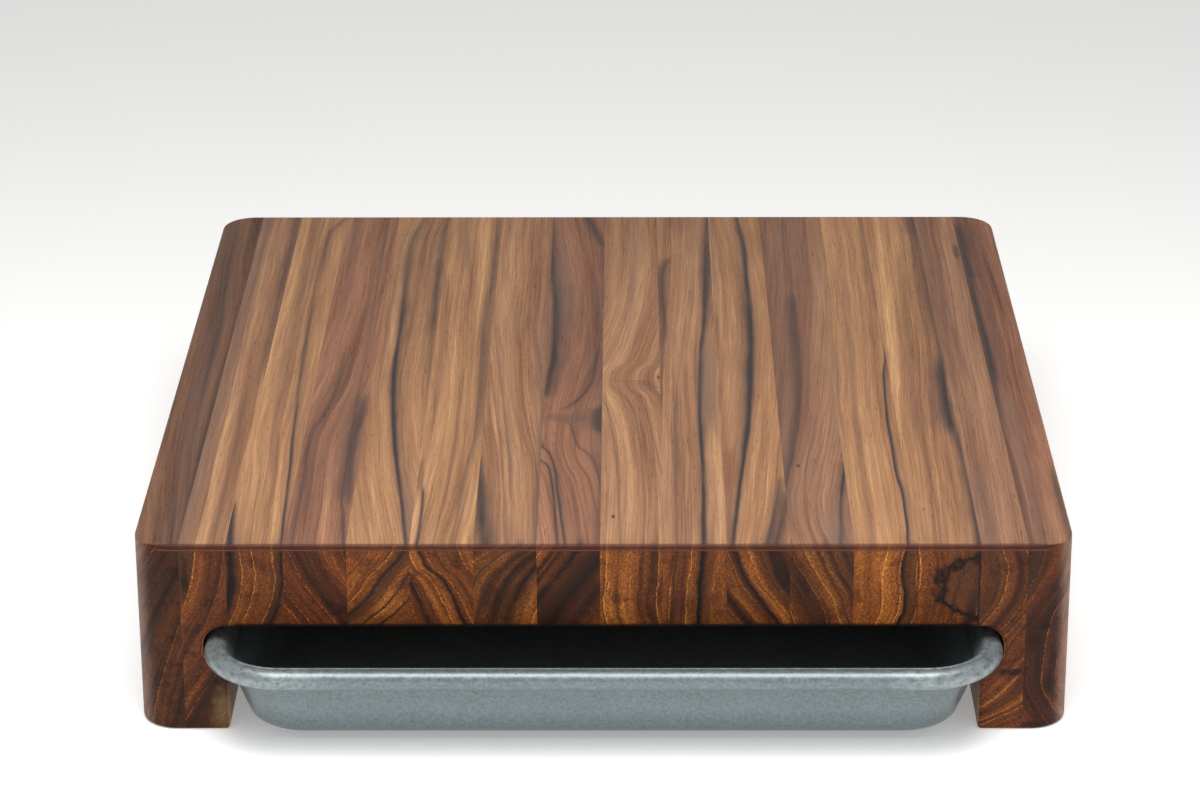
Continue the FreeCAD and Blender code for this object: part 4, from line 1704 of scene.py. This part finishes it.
                (-65, 39, 1.82, 0), (-80, 39.3, 2.6, 0.54), (-100, 39, 2.08, 0.59), (-120, 38.4, 1.04, 0.22),
            )),
            Mark(HONEY, (
                (-40, 49.6, 1.87, 0), (-58, 49.2, 2.34, 0.54), (-104, 46.8, 2.5, 0.59),
                (-150, 42.7, 2.5, 0.65),
            )),
            Mark(INK, (
                (-92, 54.9, 0.81, 0), (-102, 54.6, 0.98, 0.54), (-127, 52.3, 1.14, 0.7),
                (-150, 49.4, 1.3, 0.81),
            ), 0.4),
            Mark(INK, (
                (-102, 56.9, 0.81, 0), (-111, 56.6, 0.98, 0.54), (-127, 55.1, 1.14, 0.65),
                (-150, 52.2, 1.14, 0.7),
            )),
            Mark(HONEY, ((150, 43.5, 2.18, 0.43), (20, 43.5, 2.18, 0.43), (-60, 42, 1.56, 0.22))),
            low_vein(HONEY, 34, 1.25, 0.54), low_vein(INK, 30, 0.98, 0.76), end_vein(UMBER, 46, 1.3, 0.38),
        ),
        rings=4, seed=74.7, ends=-0.02,
    ),
    Figure(
        "middle_stave_10", Tone.GREY, 0.5,
        fall=((62, 0), (53, 4), (44, 8.5), (36, 11), (18, 16.6)),
        sway=((150, 6), (75, 4), (0, 0), (-50, -3.5), (-100, -9), (-125, -11), (-150, -9)),
        marks=(
            Mark(UMBER, ((150, 69, 4.16, 0.49), (80, 68.5, 3.9, 0.43), (60, 67, 2.6, 0.11))),
            Mark(HONEY, (
                (140, 60.5, 3.12, 0), (127, 60.5, 3.43, 0.43), (10, 60, 3.12, 0.38), (-40, 58.5, 1.56, 0),
            )),
            Mark(INK, (
                (75, 65.7, 1.62, 0.22), (58, 65.7, 1.95, 0.65), (2, 65.4, 1.95, 0.76),
                (-21, 64.8, 1.79, 0.76), (-74, 60.7, 1.46, 0.76), (-106, 56.8, 1.14, 0.65),
                (-125, 55, 0.98, 0.43), (-140, 54.5, 0.81, 0),
            ), -0.5),
            Mark(RUST, (
                (95, 70.5, 2.6, 0), (81, 70.1, 2.6, 0.32), (35, 67.8, 2.6, 0.38), (-46, 65, 2.08, 0.38),
                (-81, 62, 1.56, 0.32), (-110, 60, 1.3, 0),
            )),
            Mark(HONEY, (
                (50, 75.3, 2.5, 0.32), (35, 75.1, 2.81, 0.65), (-58, 70.7, 3.12, 0.7),
                (-92, 67.3, 3.12, 0.7), (-122, 65.1, 3.12, 0.7), (-150, 65.5, 3.12, 0.65),
            )),
            Mark(UMBER, (
                (-40, 69, 0.39, 0), (-55, 67.9, 0.39, 0.54), (-104, 62.9, 0.39, 0.54),
                (-120, 62.3, 0.39, 0.54), (-150, 63.7, 0.39, 0.59),
            )),
            Mark(INK, (
                (-78, 76.3, 0.49, 0), (-88, 75.8, 0.65, 0.76), (-113, 73.4, 0.73, 0.92),
                (-150, 71.4, 0.73, 0.92),
            ), 0.4),
            Mark(GREY, ((-100, 72, 1.95, 0), (-120, 71, 2.34, 0.54), (-150, 70, 2.6, 0.59))),
            low_vein(INK, 54.5, 1.95, 0.54), end_vein(HONEY, 60.5, 0.78, 0.65),
            end_vein(INK, 67.2, 0.81, 0.54),
        ),
        patches=(
            Patch(INK, (61.3, -89, 62), (0.6, 1.4, 2), 0.8),
            Patch(INK, (59.5, -151, 47), (3.2, 8, 8), 0.55),
        ),
        rings=4, seed=82, ends=0.14,
    ),
    Figure(
        "middle_stave_11", Tone.GOLD, 0.57,
        fall=((62, 0), (52, -1.5), (44, -0.5), (36, -2.5), (18, -7)),
        sway=((150, 2), (0, 0), (-75, -2), (-150, -2)),
        marks=(
            Mark(UMBER, (
                (150, 84.9, 1.04, 0.32), (58, 84.1, 1.17, 0.38), (-23, 82.2, 1.17, 0.38),
                (-92, 81.3, 1.04, 0.32), (-150, 81.3, 0.78, 0.32),
            )),
            Mark(GREY, ((150, 76.5, 1.95, 0.38), (0, 76.5, 1.82, 0.38), (-60, 76.5, 1.3, 0.11))),
            Mark(INK, (
                (30, 95.2, 0.49, 0), (14, 94.9, 0.41, 0.65), (-18, 92.7, 0.49, 0.86),
                (-72, 91.5, 0.46, 0.92), (-92, 91.6, 0.46, 0.92), (-120, 92.6, 0.49, 0.97),
                (-150, 91.7, 0.49, 0.97),
            ), 0.6),
            Mark(UMBER, ((150, 94.7, 0.91, 0.54), (60, 94.7, 0.78, 0.54), (40, 94.7, 0.65, 0.11))),
            Mark(HONEY, ((-60, 86.5, 4.68, 0), (-80, 86.5, 4.68, 0.49), (-150, 86.5, 4.68, 0.54))),
            Mark(HONEY, ((150, 80, 1.87, 0.32), (-40, 79.5, 1.87, 0.32), (-150, 79, 1.56, 0.32))),
            end_vein(UMBER, 94, 1.82, 0.49),
        ),
        rings=4.4, seed=89.3, ends=0.09,
    ),
    Figure(
        "middle_stave_12", Tone.GOLD, 0.57,
        fall=((62, 0), (52, 1), (44, -1), (36, -3), (18, -7.5)),
        sway=((150, 3), (50, 1.5), (0, 0), (-60, -3), (-150, -4)),
        marks=(
            Mark(UMBER, (
                (115, 106.4, 1.04, 0), (97, 106.1, 1.04, 0.32), (7, 102.7, 1.04, 0.32),
                (-46, 100.8, 1.04, 0.32), (-80, 100, 0.91, 0.11),
            )),
            Mark(INK, (
                (150, 114.2, 1.95, 0.65), (135, 114.1, 1.95, 0.65), (125, 113.8, 1.14, 0.54),
                (20, 113.6, 1.14, 0.54), (-11, 112.8, 1.79, 0.86), (-51, 112.4, 1.95, 0.92),
                (-65, 113.4, 1.3, 0.65), (-92, 113.9, 0.98, 0.7), (-150, 113.8, 0.98, 0.76),
            ), -0.4),
            Mark(HONEY, ((150, 99, 3.12, 0.22), (0, 98, 3.12, 0.22), (-150, 97.5, 2.81, 0.32))),
            Mark(UMBER, ((-70, 102.5, 0.33, 0), (-90, 102.5, 0.33, 0.38), (-150, 102, 0.39, 0.49))),
        ),
        patches=(
            Patch(GREY, (113.5, -151, 48.5), (12, 8, 10), 0.55, 1, 0.7),
            Patch(INK, (113.5, -151, 57.5), (3, 8, 2.6), 0.7),
            Patch(INK, (113.8, -151, 47), (0.4, 8, 18), 0.85),
            Patch(INK, (95.1, -151, 48), (0.3, 8, 16), 0.7),
        ),
        rings=4.6, seed=96.6, ends=-0.01,
    ),
    Figure(
        "right_leg_inner_stave", Tone.GREY, 0.48,
        fall=(
            (62, 0), (53, 2.4), (46, 1.5), (36, -4.2), (31, -8), (26, -11), (18, -17.5), (10, -25), (0, -44),
        ),
        sway=((150, 2), (0, 0), (-150, -1.5)),
        marks=(
            Mark(UMBER, (
                (150, 116, 2.08, 0.32), (130, 116, 2.21, 0.43), (-10, 115.8, 1.69, 0.38),
                (-40, 115.5, 1.3, 0),
            )),
            Mark(UMBER, (
                (95, 119.4, 0.52, 0), (81, 119.4, 0.52, 0.43), (12, 119.9, 0.52, 0.43),
                (-20, 120.2, 0.52, 0),
            )),
            Mark(HONEY, (
                (0, 121.3, 1.09, 0), (-23, 121.2, 1.25, 0.54), (-70, 121.2, 1.4, 0.54),
                (-150, 121.5, 1.87, 0.49),
            )),
            Mark(GREY, ((-85, 117, 1.95, 0), (-100, 117.2, 2.34, 0.38), (-150, 117.2, 2.34, 0.38))),
            end_vein(UMBER, 124, 0.91, 0.76), end_vein(HONEY, 118.3, 0.55, 0.86),
            low_vein(HONEY, 132, 0.47, 0.76), low_vein(HONEY, 139.6, 0.62, 0.86),
            low_vein(HONEY, 143.5, 0.62, 0.76), low_vein(HONEY, 152.7, 0.78, 0.97),
            low_vein(UMBER, 148, 1.17, 0.54),
        ),
        patches=(
            Patch(RUST, (120, 136, 62), (1.3, 4, 2), 0.5),
            Patch(INK, (127, 110, 62), (1.6, 9, 3), 0.6),
            Patch(RUST, (127.2, -113, 62), (0.5, 2, 2), 0.6),
            Patch(INK, (125, -151, 19.5), (5, 8, 1.4), 0.8),
            Patch(HONEY, (121, -151, 7), (8, 8, 12), 0.8),
        ),
        rings=4, seed=103.9, ends=-0.08,
    ),
    Figure(
        "right_leg_outer_stave", Tone.RED, 0.41,
        fall=(
            (62, 0), (54, -1.4), (49, -4.3), (43, -8.1), (38, -11.8), (30, -13), (18, -14), (10, -12),
            (0, -6),
        ),
        sway=((150, 0), (-150, 1)),
        marks=(
            Mark(INK, (
                (145, 130, 1.62, 0.32), (136, 130, 2.21, 0.76), (86, 130, 2.21, 0.76),
                (81, 129.7, 1.46, 0.7), (46, 129.7, 1.46, 0.86), (0, 129.9, 1.46, 0.86),
                (-25, 129.4, 1.3, 0.54), (-90, 129.2, 0.98, 0.38), (-150, 129, 0.81, 0.32),
            )),
            Mark(UMBER, (
                (65, 133.3, 0.65, 0), (50, 133.3, 0.65, 0.43), (-12, 133.3, 0.65, 0.43),
                (-40, 133.3, 0.65, 0),
            )),
            Mark(GREY, ((-15, 132.6, 1.82, 0), (-35, 132.6, 2.08, 0.43), (-150, 132.6, 2.21, 0.43))),
            Mark(HONEY, (
                (-30, 138, 1.25, 0), (-58, 138, 1.4, 0.54), (-127, 138, 1.56, 0.54),
                (-150, 137.5, 1.4, 0.27),
            )),
            Mark(INK, ((-80, 141.3, 0.65, 0), (-104, 141, 0.98, 0.54), (-150, 141.8, 1.3, 0.32))),
            end_vein(HONEY, 137.2, 0.55, 0.86), end_vein(UMBER, 145.5, 1.17, 0.54),
            end_vein(INK, 150.5, 0.81, 0.54),
        ),
        patches=(
            Patch(INK, (131, -151, 31), (2.8, 8, 4.5), 0.5),
            Patch(INK, (135, -151, 34.6), (7, 8, 0.8), 0.6),
            Patch(INK, (137.7, -151, 23.5), (1.5, 8, 1.5), 0.65),
            Patch(INK, (136, -151, 15), (2.6, 8, 5.5), 0.55),
            Patch(INK, (131.5, -151, 1.5), (5, 8, 2.2), 0.7),
            Patch(HONEY, (137.5, -151, 7), (4, 8, 4.5), 0.5),
        ),
        rings=4.6, seed=111.2, ends=-0.15,
    ),
)


@dataclass
class Board:
    """The block of glued staves, all of them in the frame.

    Attributes:
        finish: The wood's finish.
    """

    finish: TeakFinish = field(default_factory=TeakFinish)

    def build(self) -> None:
        """Dress every stave."""
        for figure in FIGURES:
            dress(figure.node, self.finish.material(figure))


# -------------------------------------------------------------------------------------------- studio


@dataclass
class Studio:
    """Floor, lights and camera, in metres.

    Attributes:
        eye: Where the camera stands.
        pitch: How far it looks down, in degrees.
        yaw: How far it is turned to the right, in degrees.
        roll: How far it is tilted, in degrees.
        lens: Focal length in millimetres.
        sensor: Width of the sensor in millimetres.
        sight: How far the camera sees.
        floor_half: Half the floor's width.
        floor_tiles: Quads along a side of the floor.
        sky: Colour of the light from all round.
        sky_strength: Its strength.
    """

    eye: tuple = (0.007496, -1.21056, 0.536486)
    pitch: float = 21.959
    yaw: float = -0.444
    roll: float = -0.201
    lens: float = 115.62
    sensor: float = 36.0
    sight: float = 50.0
    floor_half: float = 6.0
    floor_tiles: int = 12
    sky: tuple = (1.0, 0.99, 0.97, 1.0)
    sky_strength: float = 0.40

    def stand(self, what: bpy.types.ID, axes: tuple, at: tuple) -> bpy.types.Object:
        """Put a lamp or camera into the scene.

        Args:
            what: Its data.
            axes: The directions of its own x, y and z.
            at: Where it stands.

        Returns:
            Its object.
        """
        place = np.eye(4)
        place[:3, :3] = np.stack(axes, -1)
        place[:3, 3] = at
        made = bpy.data.objects.new(what.name, what)
        made.matrix_world = Matrix(place.tolist())
        bpy.context.scene.collection.objects.link(made)
        return made

    def camera(self) -> None:
        """Stand the camera at its angle, with axes worked out from pitch, yaw and roll."""
        pitch, yaw, roll = (math.radians(a) for a in (self.pitch, self.yaw, self.roll))
        flat = math.cos(pitch)
        ahead = np.array([math.sin(yaw) * flat, math.cos(yaw) * flat, -math.sin(pitch)])
        right = np.array([math.cos(yaw), -math.sin(yaw), 0.0])
        up = np.cross(right, ahead)
        across = right * math.cos(roll) + up * math.sin(roll)
        above = up * math.cos(roll) - right * math.sin(roll)
        lens = bpy.data.cameras.new("camera")
        lens.lens = self.lens
        lens.sensor_width = self.sensor
        lens.clip_end = self.sight
        bpy.context.scene.camera = self.stand(lens, (across, above, -ahead), self.eye)

    def floor(self) -> None:
        """Lay a flat grid of quads under the board."""
        count = self.floor_tiles + 1
        edge = np.linspace(-self.floor_half, self.floor_half, count)
        x, y = np.meshgrid(edge, edge)
        points = np.stack([x, y, np.zeros_like(x)], -1).reshape(-1, 3)
        tile = np.arange(self.floor_tiles)
        base = (tile[:, None] * count + tile).reshape(-1)
        faces = np.stack([base, base + 1, base + count + 1, base + count], -1)
        mesh = bpy.data.meshes.new("studio_floor")
        mesh.from_pydata(points.tolist(), [], faces.tolist())
        mesh.materials.append(FloorFinish().material())
        floor = bpy.data.objects.new("studio_floor", mesh)
        bpy.context.scene.collection.objects.link(floor)

    def light(
        self, name: str, at: tuple, aim: tuple, size: float, power: float, spread: float = 180.0
    ) -> None:
        """Hang one square soft box.

        Args:
            name: Its name.
            at: Where it hangs.
            aim: What it points at.
            size: Its side.
            power: Its power in watts.
            spread: How wide it shines, in degrees.
        """
        lamp = bpy.data.lights.new(name, "AREA")
        lamp.shape = "SQUARE"
        lamp.size = size
        lamp.energy = power
        lamp.spread = math.radians(spread)
        back = np.array(at) - np.array(aim)
        back = back / np.linalg.norm(back)
        upright = abs(back[2]) > UPRIGHT
        side = np.cross((0.0, 1.0, 0.0) if upright else (0.0, 0.0, 1.0), back)
        side = side / np.linalg.norm(side)
        self.stand(lamp, (side, np.cross(back, side), back), at)

    def build(self) -> None:
        """Set the camera, floor, lights and sky."""
        self.camera()
        self.floor()
        self.light("front_box", (0.0, -0.55, 1.05), (0.0, -0.50, 0.0), size=0.9, power=5.5, spread=100.0)
        self.light("high_box", (0.0, 0.4, 3.0), (0.0, 0.41, 0.0), size=3.0, power=3.0)
        self.light("low_box", (0.0, -2.4, 0.8), (0.0, 0.0, 0.0), size=1.8, power=5.6)
        world = bpy.data.worlds.new("studio_sky")
        world.use_nodes = True
        sky = world.node_tree.nodes["Background"]
        sky.inputs["Color"].default_value = self.sky
        sky.inputs["Strength"].default_value = self.sky_strength
        bpy.context.scene.world = world
        bpy.context.scene.view_settings.view_transform = "Standard"
        log.info("studio: camera, floor and lights")


def main() -> None:
    """Build the studio, the board and the trays."""
    logging.basicConfig(level=logging.INFO, format="%(name)s %(message)s")
    Studio().build()
    Board().build()
    aluminium, wire = AluminiumFinish().material(), WireFinish().material()
    for tray in (Tray("front_tray", -1), Tray("rear_tray", 1)):
        tray.build(aluminium, wire)


if __name__ == "__main__":
    main()
